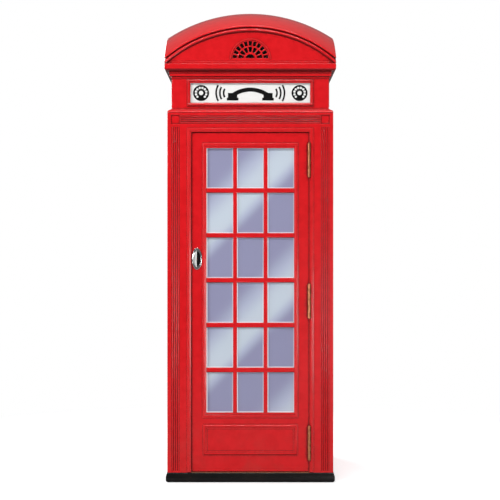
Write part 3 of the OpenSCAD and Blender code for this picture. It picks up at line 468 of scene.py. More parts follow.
@dataclass(frozen=True)
class Paint(Finish):
    """Brushed gloss paint on cast iron or steel, rubbed at the arrises and dirtier near the ground, with
    painted highlights on arrises and upward faces and painted shade in recesses and on downward faces.
    """

    colour: RGB
    shade: RGB
    under: RGB
    # deep is the painted shade colour; pale is the painted highlight colour.
    deep: RGB
    pale: RGB
    roughness: float = 0.22
    gloss: float = 0.3
    coat: float = 0.4
    wear: float = 0.25
    dirt: float = 0.15
    # How strongly painted shade is laid on, how strongly arrises and upward faces get a painted highlight, and
    # how far the recess shade reaches.
    shade_depth: float = 0.85
    thin: float = 0.5
    top_highlight: float = 0.12
    shelter: float = 30 * MM
    wave: float = 0.08 * MM

    def surface(self, tree: Tree, shader: Node) -> None:
        """Paint, a slow change of tone, dirt, primer showing at rubbed edges, painted highlights on arrises and
        upward faces, and painted shade in recesses and on downward faces.
        """
        brush = tree.group(Effect.BRUSHWORK)
        wear = tree.group(Effect.EDGE_WEAR_AND_HIGHLIGHT, Amount=self.wear)
        grime = tree.group(Effect.GRIME, Amount=self.dirt)
        tone = tree.mix(tree.ramp(brush.outputs["Tone"], 0.3, 0.75), self.colour, self.shade)
        filmed = tree.mix(grime.outputs["Film"], tone, self.shade)
        dirt_and_highlight = tree.mix(grime.outputs["Splash"], filmed, srgb(92, 76, 64))
        # Painted shade on downward faces and a painted highlight on upward faces, set by which way each face
        # points.
        weather = tree.group(Effect.SLOPE_SHADING)
        # Painted highlight: every convex arris, and every upward face, is lightened towards pale.
        arris = tree.math("MULTIPLY", wear.outputs["Arris"], self.thin)
        top_lit = tree.math("MULTIPLY", weather.outputs["Top"], self.top_highlight)
        dirt_and_highlight = tree.mix(tree.math("MAXIMUM", arris, top_lit), dirt_and_highlight, self.pale)
        # Painted shade: recesses found by ambient occlusion, and downward faces, are darkened towards deep.
        recess_shade = tree.group(Effect.CREVICE_SHADE, Reach=self.shelter).outputs["Mask"]
        hidden = tree.math("MULTIPLY", tree.math("MAXIMUM", recess_shade, weather.outputs["Under Shade"]), self.shade_depth)
        lit_and_shaded = tree.mix(hidden, dirt_and_highlight, self.deep)
        tree.feed(shader.inputs["Base Color"], tree.mix(wear.outputs["Mask"], lit_and_shaded, self.under))
        matt = tree.math("ADD", tree.math("MULTIPLY", grime.outputs["Film"], 0.35), grime.outputs["Splash"])
        rough = tree.ramp(tree.math("MAXIMUM", matt, wear.outputs["Mask"]), 0.0, 1.0, self.roughness, 0.65)
        tree.feed(shader.inputs["Roughness"], rough)
        coat = tree.math("MULTIPLY", tree.math("SUBTRACT", 1.0, grime.outputs["Splash"]), self.coat)
        tree.feed(shader.inputs["Coat Weight"], coat)
        self.set_plain(shader, Specular_IOR_Level=self.gloss, Coat_Roughness=0.06, Coat_IOR=1.4)
        self.bump(tree, shader, brush.outputs["Height"], self.wave)


@dataclass(frozen=True)
class Metal(Finish):
    """Bare, plated or polished metal with handling marks, and tarnish where it isn't touched."""

    colour: RGB
    tarnish: RGB
    roughness: float = 0.2
    age: float = 0.4

    def surface(self, tree: Tree, shader: Node) -> None:
        """Metal with scratches, dulled patches and tarnish."""
        marks = tree.group(Effect.SCRATCHES)
        dull = tree.math("MULTIPLY", marks.outputs["Dull"], self.age)
        tree.feed(shader.inputs["Base Color"], tree.mix(dull, self.colour, self.tarnish))
        scored = tree.math("ADD", tree.math("MULTIPLY", marks.outputs["Lines"], 0.12), self.roughness)
        tree.feed(shader.inputs["Roughness"], tree.math("ADD", scored, tree.math("MULTIPLY", dull, 0.35)))
        self.set_plain(shader, Metallic=1.0)
        self.bump(tree, shader, marks.outputs["Lines"], -0.012 * MM)


@dataclass(frozen=True)
class Moulded(Finish):
    """Moulded, enamelled or fired ware: smooth, glossy, and lightly scratched by use."""

    colour: RGB
    shade: RGB
    roughness: float = 0.15
    coat: float = 0.4
    speck: float = 0.2

    def surface(self, tree: Tree, shader: Node) -> None:
        """Even colour with a cloudy shade, specks, and scratches that dull the gloss."""
        marks = tree.group(Effect.SCRATCHES)
        brush = tree.group(Effect.BRUSHWORK, Scale=1.6)
        cloud = tree.math("MULTIPLY", tree.ramp(brush.outputs["Tone"], 0.35, 0.7), self.speck)
        tree.feed(shader.inputs["Base Color"], tree.mix(cloud, self.colour, self.shade))
        dull = tree.math("MULTIPLY", marks.outputs["Dull"], 0.12)
        scored = tree.math("ADD", tree.math("MULTIPLY", marks.outputs["Lines"], 0.15), dull)
        tree.feed(shader.inputs["Roughness"], tree.math("ADD", scored, self.roughness))
        self.set_plain(shader, Coat_Weight=self.coat, Coat_Roughness=0.05)
        self.bump(tree, shader, marks.outputs["Lines"], -0.02 * MM)


@dataclass(frozen=True)
class PaneGlass(Finish):
    """Drawn window glass with a painted sky reflection in slanting bands, and a painted, glowing highlight
    along its ground edges.
    """

    deep: RGB
    sheen: RGB
    bright: RGB
    body: float = 0.9

    def surface(self, tree: Tree, shader: Node) -> None:
        """Painted reflection bands over tinted glass, with a painted highlight line that glows at the pane's
        ground rim.
        """
        # Painted reflection: slanting bands in object space, toned from deep through sheen to bright.
        streaks = tree.group(Effect.SHEET_STREAKS, Slope=1.0, Pitch=1.267, Shift=0.531)
        band = streaks.outputs["Band"]
        toned = tree.mix(tree.ramp(band, 0.0, 0.6), self.deep, self.sheen)
        lit = tree.mix(tree.ramp(band, 0.45, 1.0), toned, self.bright)
        # Painted highlight: the ground rim is whitened and glows through emission.
        rim = tree.add("ShaderNodeAttribute", attribute_name=GlassPanes.RIM_HIGHLIGHT).outputs["Fac"]
        tree.feed(shader.inputs["Base Color"], tree.mix(rim, lit, srgb(246, 240, 246)))
        tree.feed(shader.inputs["Emission Color"], tree.mix(rim, (0.0, 0.0, 0.0), (1.0, 0.95, 0.98)))
        open_part = tree.math("SUBTRACT", 1.0, tree.math("MAXIMUM", band, rim))
        clear = tree.math("MULTIPLY", open_part, 1 - self.body)
        tree.feed(shader.inputs["Alpha"], tree.math("SUBTRACT", 1.0, clear))
        dust = tree.group(Effect.GRIME, Amount=0.5, Low=0.4, High=0.9)
        film = tree.math("MULTIPLY", dust.outputs["Film"], 0.3)
        tree.feed(shader.inputs["Roughness"], tree.math("ADD", 0.04, film))
        self.set_plain(shader, Specular_IOR_Level=0.4, Emission_Strength=0.55)
        self.bump(tree, shader, streaks.outputs["Ripple"], 0.3 * MM)


@dataclass(frozen=True)
class Opal(Finish):
    """Milk glass that glows a little with the light behind it."""

    colour: RGB
    glow: float

    def surface(self, tree: Tree, shader: Node) -> None:
        """White glass with a cloudy body, a dusty foot, and a soft glow."""
        brush = tree.group(Effect.BRUSHWORK, Scale=0.6)
        grime = tree.group(Effect.GRIME, Amount=0.12, Low=-1.0, High=-0.5)
        cloud = tree.math("MULTIPLY", tree.ramp(brush.outputs["Tone"], 0.3, 0.7), 0.12)
        tint = tree.mix(cloud, self.colour, srgb(232, 232, 226))
        tree.feed(shader.inputs["Base Color"], tree.mix(grime.outputs["Film"], tint, srgb(196, 190, 176)))
        tree.feed(shader.inputs["Emission Color"], tint)
        tree.feed(shader.inputs["Roughness"], tree.math("ADD", 0.14, grime.outputs["Film"]))
        self.set_plain(shader, Emission_Strength=self.glow, Specular_IOR_Level=0.35)


@dataclass(frozen=True)
class Clear(Finish):
    """Thin blown glass."""

    colour: RGB

    def surface(self, tree: Tree, shader: Node) -> None:
        """Clear glass with faint marks."""
        marks = tree.group(Effect.SCRATCHES)
        dulled = tree.mix(marks.outputs["Dull"], self.colour, srgb(228, 226, 218))
        tree.feed(shader.inputs["Base Color"], dulled)
        tree.feed(shader.inputs["Roughness"], tree.math("MULTIPLY", marks.outputs["Dull"], 0.08))
        self.set_plain(shader, Transmission_Weight=0.9, IOR=1.45)


@dataclass(frozen=True)
class Concrete(Finish):
    """Troweled concrete, with fine aggregate, pores and damp stains."""

    colour: RGB
    shade: RGB

    def surface(self, tree: Tree, shader: Node) -> None:
        """Stone grains over stained cement."""
        pits = tree.group(Effect.PITTING)
        stained = tree.mix(tree.ramp(pits.outputs["Stain"], 0.3, 0.75), self.colour, self.shade)
        speckled = tree.mix(tree.math("MULTIPLY", pits.outputs["Stone"], 0.22), stained, srgb(70, 68, 64))
        tree.feed(shader.inputs["Base Color"], speckled)
        tree.feed(shader.inputs["Roughness"], tree.ramp(pits.outputs["Stain"], 0.3, 0.8, 0.9, 0.7))
        self.bump(tree, shader, pits.outputs["Height"], 0.8 * MM)


@dataclass(frozen=True)
class Timber(Finish):
    """Varnished board with rings, pores and worn varnish."""

    early: RGB
    late: RGB

    def surface(self, tree: Tree, shader: Node) -> None:
        """Grain under a varnish that is dulled in patches."""
        grain = tree.group(Effect.GRAIN, Scale=2.4)
        marks = tree.group(Effect.SCRATCHES)
        figured = tree.mix(grain.outputs["Figure"], self.early, self.late)
        pored = tree.mix(tree.math("MULTIPLY", grain.outputs["Pores"], 0.6), figured, srgb(46, 24, 12))
        tree.feed(shader.inputs["Base Color"], pored)
        tree.feed(shader.inputs["Roughness"], tree.ramp(marks.outputs["Dull"], 0.0, 1.0, 0.22, 0.42))
        self.set_plain(shader, Coat_Weight=0.35, Coat_Roughness=0.12)
        self.bump(tree, shader, grain.outputs["Pores"], -0.08 * MM)


# Paint colours run colour, shade, primer, then deep, the painted shade colour of recesses and downward faces,
# and pale, the painted highlight colour of arrises and upward faces.
RED = Paint(
    "gloss_red", Slot.RED_PAINT, srgb(224, 20, 28), srgb(214, 15, 23), srgb(112, 26, 24), srgb(82, 2, 6),
    srgb(246, 96, 90),
)
BLACK = Paint(
    "gloss_black", Slot.BLACK_PAINT, srgb(14, 14, 15), srgb(9, 9, 10), srgb(120, 118, 116), srgb(4, 4, 4),
    srgb(120, 120, 120), wear=0.6, dirt=0.06, gloss=0.2,
)
CREAM = Paint(
    "cream_enamel", Slot.CREAM_ENAMEL, srgb(228, 220, 196), srgb(220, 210, 184), srgb(150, 140, 120),
    srgb(120, 106, 82), srgb(240, 234, 214), shade_depth=0.6,
)
CARD = Moulded("notice_paper", Slot.CREAM_ENAMEL, srgb(226, 218, 198), srgb(212, 202, 178), 0.75)
SAFE_BLACK = Paint(
    "stove_black", Slot.BLACK_ENAMEL, srgb(26, 26, 27), srgb(16, 16, 17), srgb(118, 116, 112),
    srgb(6, 6, 6), srgb(70, 70, 70), roughness=0.3, wear=0.7, dirt=0.12,
)
SIGN_BLACK = Paint(
    "sign_enamel", Slot.SIGN_BLACK, srgb(14, 14, 15), srgb(8, 8, 9), srgb(40, 40, 40), srgb(4, 4, 4),
    srgb(24, 24, 24), wear=0.1, dirt=0.05,
)
CHROME = Metal("bright_chrome", Slot.CHROME, srgb(226, 226, 228), srgb(170, 168, 164), 0.07, 0.25)
SATIN = Metal("satin_chrome", Slot.CHROME, srgb(232, 232, 232), srgb(196, 194, 190), 0.34, 0.25)
STEEL = Metal("plated_steel", Slot.PLATED_STEEL, srgb(176, 176, 178), srgb(120, 116, 110), 0.26, 0.5)
BRASS = Metal("worn_brass", Slot.BRASS, srgb(206, 142, 100), srgb(142, 84, 56), 0.3, 0.7)
PORCELAIN = Moulded("white_porcelain", Slot.PORCELAIN, srgb(238, 236, 230), srgb(214, 212, 204))
BAKELITE = Moulded("black_bakelite", Slot.BAKELITE, srgb(22, 18, 17), srgb(40, 30, 27), 0.12, 0.5, 0.5)
# The glass's tint, then the painted sheen and the painted bright of its reflection bands.
PANE = PaneGlass(
    "drawn_glass", Slot.PANE_GLASS, srgb(158, 159, 192), srgb(186, 194, 218), srgb(203, 215, 228),
)
OPAL = Opal("opal_glass", Slot.OPAL_GLASS, srgb(250, 250, 248), 0.12)
LAMP_OPAL = Opal("lit_opal", Slot.OPAL_GLASS, srgb(252, 246, 232), 0.9)
BULB = Clear("bulb_glass", Slot.BULB_GLASS, srgb(250, 248, 240))
STONE = Concrete("troweled_concrete", Slot.CONCRETE, srgb(158, 154, 146), srgb(112, 108, 102))
WOOD = Timber("varnished_mahogany", Slot.VARNISHED_WOOD, srgb(150, 84, 42), srgb(92, 44, 20))


class Solid:
    """A mesh under construction, and the shaping that the sub-assemblies share."""

    CREASE = math.radians(25)
    FLAT = math.radians(1.0)
    WELD = 1e-6
    SMOOTH = math.cos(math.radians(48))

    def __init__(self, mesh: Optional[bmesh.types.BMesh] = None) -> None:
        """Starts empty, or from a mesh."""
        self.bm = mesh or bmesh.new()

    @classmethod
    def of_nodes(cls, *nodes: str) -> "Solid":
        """Copies CAD nodes into one mesh, welded, with their flat faces made whole again.

        Args:
            nodes: the nodes' names.

        Returns:
            The copy.
        """
        solid = cls()
        for node in nodes:
            solid.bm.from_mesh(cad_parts[node].data)
        bmesh.ops.remove_doubles(solid.bm, verts=solid.bm.verts, dist=cls.WELD)
        bmesh.ops.dissolve_limit(
            solid.bm, angle_limit=cls.FLAT, verts=solid.bm.verts, edges=solid.bm.edges, delimit=set()
        )
        return solid

    @staticmethod
    def room_beside(edge: bmesh.types.BMEdge) -> float:
        """How wide the narrower of an edge's two faces is, straight across from the edge."""
        start, along = edge.verts[0].co, edge.verts[1].co - edge.verts[0].co
        length = along.length
        along = along / length
        room = 1.0
        for face in edge.link_faces:
            for vert in face.verts:
                reach = vert.co - start
                run = reach.dot(along)
                across = (reach - along * run).length
                if across > 1e-6 and -1e-6 <= run <= length + 1e-6:
                    room = min(room, across)
        return room

    def ease(self, width: float, steps: int = 2, least: float = 3.0, run: float = 0.0) -> "Solid":
        """Rounds the outward arrises that have room for it.

        Args:
            width: how far the rounding reaches on each side.
            steps: how many facets it has.
            least: how many times the width a face must measure beside its arris.
            run: how long an arris must be.

        Returns:
            The same solid.
        """
        arrises = [
            e for e in self.bm.edges
            if e.is_manifold and e.calc_face_angle_signed(0.0) > self.CREASE
            and e.calc_length() >= run and self.room_beside(e) > least * width
        ]
        bmesh.ops.bevel(
            self.bm, geom=arrises, offset=width, offset_type="OFFSET", segments=steps, profile=0.5,
            affect="EDGES", clamp_overlap=False,
        )
        return self

    def join(self, other: "Solid") -> "Solid":
        """Adds another solid's mesh to this one."""
        mesh = bpy.data.meshes.new("joined")
        other.bm.to_mesh(mesh)
        self.bm.from_mesh(mesh)
        bpy.data.meshes.remove(mesh)
        return self

    def moved(self, matrix: Matrix) -> "Solid":
        """Returns a copy that has been turned or shifted."""
        copy = Solid(self.bm.copy())
        bmesh.ops.transform(copy.bm, matrix=matrix, verts=copy.bm.verts)
        return copy

    def skin(self, rings: Sequence[Sequence[Vector]], round_shut: bool, ends_shut: bool) -> "Solid":
        """Spans faces between rings of points.

        Args:
            rings: the rings, each with the same number of points.
            round_shut: whether the last ring joins the first.
            ends_shut: whether each end ring is filled.

        Returns:
            The same solid, with its faces pointing out.
        """
        loops = [[self.bm.verts.new(p) for p in ring] for ring in rings]
        pairs = list(zip(loops, loops[1:])) + ([(loops[-1], loops[0])] if round_shut else [])
        made = []
        for first, second in pairs:
            for i in range(len(first)):
                j = (i + 1) % len(first)
                made.append(self.bm.faces.new((first[i], first[j], second[j], second[i])))
        if ends_shut:
            made += [self.bm.faces.new(loops[0]), self.bm.faces.new(loops[-1])]
        bmesh.ops.recalc_face_normals(self.bm, faces=made)
        return self

    def corner_normals(self) -> list[Vector]:
        """Each face corner's shading normal: smooth over curves, flat over big faces, broken at creases."""
        facts = {face: (face.normal.copy(), face.calc_area() ** 2) for face in self.bm.faces}
        normals = []
        for face in self.bm.faces:
            own = facts[face][0]
            for vert in face.verts:
                near = [facts[f] for f in vert.link_faces if facts[f][0].dot(own) > self.SMOOTH]
                total = sum((normal * weight for normal, weight in near), Vector())
                normals.append(total.normalized() if total.length > 0 else own)
        return normals

    def object(self, name: str) -> Thing:
        """Turns the mesh into a smooth-shaded object at the origin, and names it."""
        mesh = bpy.data.meshes.new(name)
        self.bm.normal_update()
        normals = self.corner_normals()
        self.bm.to_mesh(mesh)
        self.bm.free()
        mesh.shade_smooth()
        mesh.normals_split_custom_set(normals)
        thing = bpy.data.objects.new(name, mesh)
        bpy.context.scene.collection.objects.link(thing)
        return thing


def settle(thing: Thing) -> Thing:
    """Makes an object's evaluated mesh its own, and removes its modifiers."""
    bpy.context.view_layer.update()
    graph = bpy.context.evaluated_depsgraph_get()
    shown = thing.evaluated_get(graph)
    mesh = bpy.data.meshes.new_from_object(shown, preserve_all_data_layers=True, depsgraph=graph)
    thing.modifiers.clear()
    thing.data = mesh
    return thing


def turned(profile: Sequence[Pair], centre: Sequence[float], axis: Axis, steps: int = 32) -> Solid:
    """A turned solid.

    Args:
        profile: radius and height of each point, from one end to the other, with a radius above nothing.
        centre: the point on the axis where the height is nothing.
        axis: the axis it is turned about; FRONT's heights run towards the door side.
        steps: how many facets it has round.

    Returns:
        The solid, closed at both ends.
    """
    angles = [2 * math.pi * i / steps for i in range(steps)]
    place = Matrix.Translation(centre) @ axis.value
    rings = [[place @ Vector((r * math.cos(a), r * math.sin(a), h)) for a in angles] for r, h in profile]
    return Solid().skin(rings, False, True)


def moulding(left: float, right: float, low: float, high: float, face: float,
             section: Sequence[Pair], open_foot: bool = False) -> Solid:
    """A mitred moulding round a rectangle on a plane that faces the front.

    Args:
        left: the rectangle's left edge.
        right: its right edge.
        low: its bottom edge.
        high: its top edge.
        face: where the plane is, along Y.
        section: distance in from the rectangle's edge and height off the plane, of each point across.
        open_foot: whether the bottom run is left out.

    Returns:
        The solid.
    """
    foot = 0.0 if open_foot else 1.0
    corners = ((left, low, 1, foot), (left, high, 1, -1), (right, high, -1, -1), (right, low, -1, foot))
    rings = [
        [Vector((x + sx * inward, face - proud, z + sz * inward)) for inward, proud in section]
        for x, z, sx, sz in corners
    ]
    return Solid().skin(rings, not open_foot, open_foot)


def swept(path: Sequence[Vector], radii: Sequence[Pair], side: Vector, steps: int = 16) -> Solid:
    """An oval bar along a path.

    Args:
        path: the points along its middle.
        radii: its half width along the side and across it, at each point.
        side: a direction that is never along the path.
        steps: how many facets it has round.

    Returns:
        The solid, closed at both ends.
    """
    rings = []
    for i, point in enumerate(path):
        ahead = (path[min(i + 1, len(path) - 1)] - path[max(i - 1, 0)]).normalized()
        across = ahead.cross(side).normalized()
        wide = across.cross(ahead).normalized()
        a, b = radii[i]
        turns = [2 * math.pi * k / steps for k in range(steps)]
        rings.append([point + wide * (a * math.cos(t)) + across * (b * math.sin(t)) for t in turns])
    return Solid().skin(rings, False, True)


def arc(centre: Pair, radius: float, start: float, end: float, steps: int) -> list[Pair]:
    """Points along an arc, as pairs, with its angles in degrees."""
    angles = [math.radians(start + (end - start) * i / steps) for i in range(steps + 1)]
    return [(centre[0] + radius * math.cos(a), centre[1] + radius * math.sin(a)) for a in angles]


QUARTERS = [Matrix.Rotation(-math.pi / 2 * k, 4, "Z") for k in range(4)]


@dataclass
class Piece:
    """One finished piece: its object and finish, its body, and the CAD nodes that it stands for."""

    thing: Thing
    finish: Finish
    body: Body
    nodes: tuple[str, ...]


@dataclass
class Assembly:
    """A sub-assembly of the kiosk: it builds its pieces, and then it dresses them."""

    pieces: list[Piece] = field(default_factory=list, init=False)

    def add(self, name: str, made: Union[Solid, Thing], finish: Finish, *nodes: str,
            body: Body = Body.BOOTH) -> Thing:
        """Takes a finished shape in as a piece.

        Args:
            name: the piece's name.
            made: the shape.
            finish: what it is made of.
            nodes: the CAD nodes that it stands for.
            body: the body that it rides on.

        Returns:
            The piece's object.
        """
        thing = made.object(name) if isinstance(made, Solid) else made
        self.pieces.append(Piece(thing, finish, body, nodes))
        return thing

    def eased(self, node: str, finish: Finish, width: float, body: Body = Body.BOOTH, steps: int = 2,
              least: float = 3.0, run: float = 0.0) -> None:
        """Takes a CAD node in as a piece with eased arrises.

        Args:
            node: the node's name.
            finish: what it is made of.
            width: how far the arrises are rounded.
            body: the body that it rides on.
            steps: how many facets the rounding has.
            least: how many times the width a face must measure beside its arris.
            run: how long an arris must be.
        """
        solid = Solid.of_nodes(node).ease(width, steps, least, run)
        self.add(f"{node}_piece", solid, finish, node, body=body)

    def build(self) -> None:
        """Makes the meshes. Each sub-assembly does this its own way."""
        raise NotImplementedError

    def dress(self) -> None:
        """Gives each piece its material, its body and the nodes that it stands for."""
        for piece in self.pieces:
            thing = piece.thing
            thing.data.materials.clear()
            thing.data.materials.append(piece.finish.material())
            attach(thing, piece.body.value)
            if piece.nodes:
                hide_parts(*piece.nodes)
            LOG.info("%s: %s, %d faces", piece.thing.name, piece.finish.name, len(thing.data.polygons))


class Pattern(Tree):
    """A geometry node tree with named inputs, which makes what repeats."""

    KINDS = {int: "NodeSocketInt", float: "NodeSocketFloat"}

    def __init__(self, name: str, sizes: dict[str, Number]) -> None:
        """Starts a tree with one input for each size, and one for the material.

        Args:
            name: the tree's name.
            sizes: the inputs and their usual values.
        """
        super().__init__(bpy.data.node_groups.new(name, "GeometryNodeTree"))
        face = self.tree.interface
        face.new_socket("Geometry", in_out="INPUT", socket_type="NodeSocketGeometry")
        face.new_socket("Geometry", in_out="OUTPUT", socket_type="NodeSocketGeometry")
        for label, size in sizes.items():
            face.new_socket(label, in_out="INPUT", socket_type=self.KINDS[type(size)]).default_value = size
        face.new_socket("Part", in_out="INPUT", socket_type="NodeSocketObject")
        face.new_socket("Material", in_out="INPUT", socket_type="NodeSocketMaterial")
        self.entry = self.add("NodeGroupInput")

    def size(self, label: str) -> Socket:
        """The socket of a named input, inside the tree."""
        return self.entry.outputs[label]

    def vector(self, x: Value = 0.0, y: Value = 0.0, z: Value = 0.0) -> Socket:
        """Joins three numbers into a vector's socket."""
        return self.add("ShaderNodeCombineXYZ", {0: x, 1: y, 2: z}).outputs[0]

    def close(self, instances: Socket) -> None:
        """Ends the tree: the instances are made real and take the material."""
        real = self.add("GeometryNodeRealizeInstances", {"Geometry": instances}).outputs[0]
        done = self.add("GeometryNodeSetMaterial", {"Geometry": real, "Material": self.size("Material")})
        self.add("NodeGroupOutput", {0: done.outputs[0]})

    def grow(self, finish: Finish, part: Optional[Thing] = None, **sizes: Number) -> Solid:
        """Runs the tree with its own sizes.

        Args:
            finish: what the result is made of.
            part: the object that is repeated, if the tree repeats one.
            sizes: the inputs, with spaces written as underscores.

        Returns:
            The result as a plain solid.
        """
        host = bpy.data.objects.new("pattern_host", bpy.data.meshes.new("pattern_host"))
        bpy.context.scene.collection.objects.link(host)
        runner = host.modifiers.new("pattern", "NODES")
        runner.node_group = self.tree
        given = {name.replace("_", " "): value for name, value in sizes.items()}
        given |= {"Part": part, "Material": finish.material()}
        for socket in self.tree.interface.items_tree:
            if socket.in_out == "INPUT" and given.get(socket.name) is not None:
                runner[socket.identifier] = given[socket.name]
        settle(host)
        solid = Solid()
        solid.bm.from_mesh(host.data)
        bpy.data.objects.remove(host)
        return solid


class RodPattern(Pattern):
    """A row of upright round-ended rods, side by side along X."""

    def __init__(self) -> None:
        """Stretches a ball into a rod, and repeats it along a line."""
        super().__init__("rod_row", {"Count": 4, "Pitch": 0.012, "Radius": 0.005, "Length": 1.0})
        ball = self.add("GeometryNodeMeshUVSphere", {"Segments": 14, "Rings": 7, "Radius": self.size("Radius")})
        spot = self.add("GeometryNodeInputPosition").outputs[0]
        height = self.add("ShaderNodeSeparateXYZ", {0: spot}).outputs["Z"]
        half = self.math("SUBTRACT", self.math("MULTIPLY", self.size("Length"), 0.5), self.size("Radius"))
        stretch = self.vector(z=self.math("MULTIPLY", self.math("SIGN", height), half))
        rod = self.add("GeometryNodeSetPosition", {"Geometry": ball.outputs["Mesh"], "Offset": stretch})
        spots = self.add("GeometryNodeMeshLine", {
            "Count": self.size("Count"), "Offset": self.vector(x=self.size("Pitch")),
        }).outputs[0]
        row = self.add("GeometryNodeInstanceOnPoints", {"Points": spots, "Instance": rod.outputs[0]})
        self.close(row.outputs[0])


class FastenerPattern(Pattern):
    """A grid of fasteners on a plane that faces the front, each turned its own way about Y."""

    def __init__(self) -> None:
        """Repeats a part over a grid of points, with a seeded turn."""
        super().__init__("fastener_grid", {
            "Columns": 2, "Rows": 2, "Column Pitch": 0.1, "Row Pitch": 0.1, "Turn": 3.14, "Seed": 7,
        })
        index = self.add("GeometryNodeInputIndex").outputs[0]
        column = self.math("MODULO", index, self.size("Columns"))
        row = self.math("FLOOR", self.math("DIVIDE", index, self.size("Columns")))
        count = self.math("MULTIPLY", self.size("Columns"), self.size("Rows"))
        line = self.add("GeometryNodeMeshLine", {"Count": count, "Offset": (0, 0, 0)}).outputs[0]
        x = self.math("MULTIPLY", column, self.size("Column Pitch"))
        z = self.math("MULTIPLY", row, self.size("Row Pitch"))
        spots = self.add("GeometryNodeSetPosition", {"Geometry": line, "Position": self.vector(x=x, z=z)})
        turn = self.add("FunctionNodeRandomValue", {"Seed": self.size("Seed")}, data_type="FLOAT")
        self.feed([s for s in turn.inputs if s.name == "Max" and s.type == "VALUE"][0], self.size("Turn"))
        about = self.vector(y=[s for s in turn.outputs if s.type == "VALUE"][0])
        part = self.add("GeometryNodeObjectInfo", {"Object": self.size("Part")}).outputs["Geometry"]
        grid = self.add("GeometryNodeInstanceOnPoints", {
            "Points": spots.outputs[0], "Instance": part, "Rotation": about,
        })
        self.close(grid.outputs[0])


@dataclass
class Mouldings(Assembly):
    """The planted mouldings of one wall: round the window, round the kick panel, and the architrave."""

    wall: int = 0
    sash_half: float = 281.5 * MM
    sash_low: float = 377 * MM
    sash_high: float = 1990 * MM
    kick_half: float = 277.5 * MM
    kick_low: float = 157 * MM
    kick_high: float = 340 * MM
    leaf_face: float = -480 * MM
    wall_face: float = -486 * MM
    outer: float = 371 * MM
    foot: float = 63 * MM
    crown: float = 2077 * MM

    SASH = ((0, 0), (0, 2.4), (1.2, 3.3), (4.6, 3.6), (6.2, 5.3), (8.2, 6.3), (10.6, 6.6), (13, 6.4),
            (15.2, 5.8), (17.2, 4.6), (19, 3.7), (22, 3.3), (24.4, 2.6), (25, 1.4), (25, 0))
    ARCHITRAVE = ((0, 0), (0, 2.6), (1.2, 3.4), (4.8, 3.7), (6.4, 5.2), (8.6, 6.4), (11.6, 6.9), (14.8, 6.6),
                  (17.2, 5.6), (19, 3.9), (23.6, 3.5), (24.8, 2.8), (25, 0))

    @staticmethod
    def section(points: Iterable[Pair], widen: float = 1.0) -> list[Pair]:
        """Turns a section drawn in millimetres into metres.

        Args:
            points: distance in and height of each point.
            widen: how much wider the section is made.

        Returns:
            The section.
        """
        return [(u * MM * widen, h * MM) for u, h in points]

    def sash(self) -> Solid:
        """The moulding round the window and the one round the kick panel."""
        sash = moulding(
            -self.sash_half, self.sash_half, self.sash_low, self.sash_high, self.leaf_face,
            self.section(self.SASH),
        )
        kick = moulding(
            -self.kick_half, self.kick_half, self.kick_low, self.kick_high, self.leaf_face,
            self.section(self.SASH, 0.94),
        )
        return sash.join(kick)

    def architrave(self) -> Solid:
        """The moulding round the opening, open at the foot."""
        return moulding(
            -self.outer, self.outer, self.foot, self.crown, self.wall_face,
            self.section(self.ARCHITRAVE), True,
        )

    def build(self) -> None:
        """Makes the wall's mouldings; those on the door ride with it."""
        turn, side = QUARTERS[self.wall], ("front", "left", "back", "right")[self.wall]
        body = Body.DOOR if self.wall == 0 else Body.BOOTH
        self.add(f"sash_moulding_{side}", self.sash().moved(turn), RED, body=body)
        self.add(f"architrave_{side}", self.architrave().moved(turn), RED)


@dataclass
class Reeding(Assembly):
    """The reeds sunk in the corner posts and across the head of each wall."""

    radius: float = 5.4 * MM
    pitch: float = 11.8 * MM
    count: int = 4
    first: float = 420.9 * MM
    axis: float = -480.8 * MM
    foot: float = 69 * MM
    top: float = 2082 * MM
    head_first: float = 2108.4 * MM
    head_half: float = 411 * MM

    def build(self) -> None:
        """Grows the upright and the level reeds, and turns them to the four walls."""
        rods = RodPattern()
        sizes = {"Count": self.count, "Pitch": self.pitch, "Radius": self.radius}
        posts = rods.grow(RED, Length=self.top - self.foot, **sizes)
        post = posts.moved(Matrix.Translation((self.first, self.axis, (self.foot + self.top) / 2)))
        other = posts.moved(Matrix.Translation((
            -self.first - self.pitch * (self.count - 1), self.axis, (self.foot + self.top) / 2
        )))
        lying = Matrix.Translation((0, self.axis, self.head_first)) @ Matrix.Rotation(-math.pi / 2, 4, "Y")
        head = rods.grow(RED, Length=2 * self.head_half, **sizes).moved(lying)
        wall = post.join(other).join(head)
        for side, turn in zip(("front", "left", "back", "right"), QUARTERS):
            self.add(f"reeds_{side}", wall.moved(turn), RED)


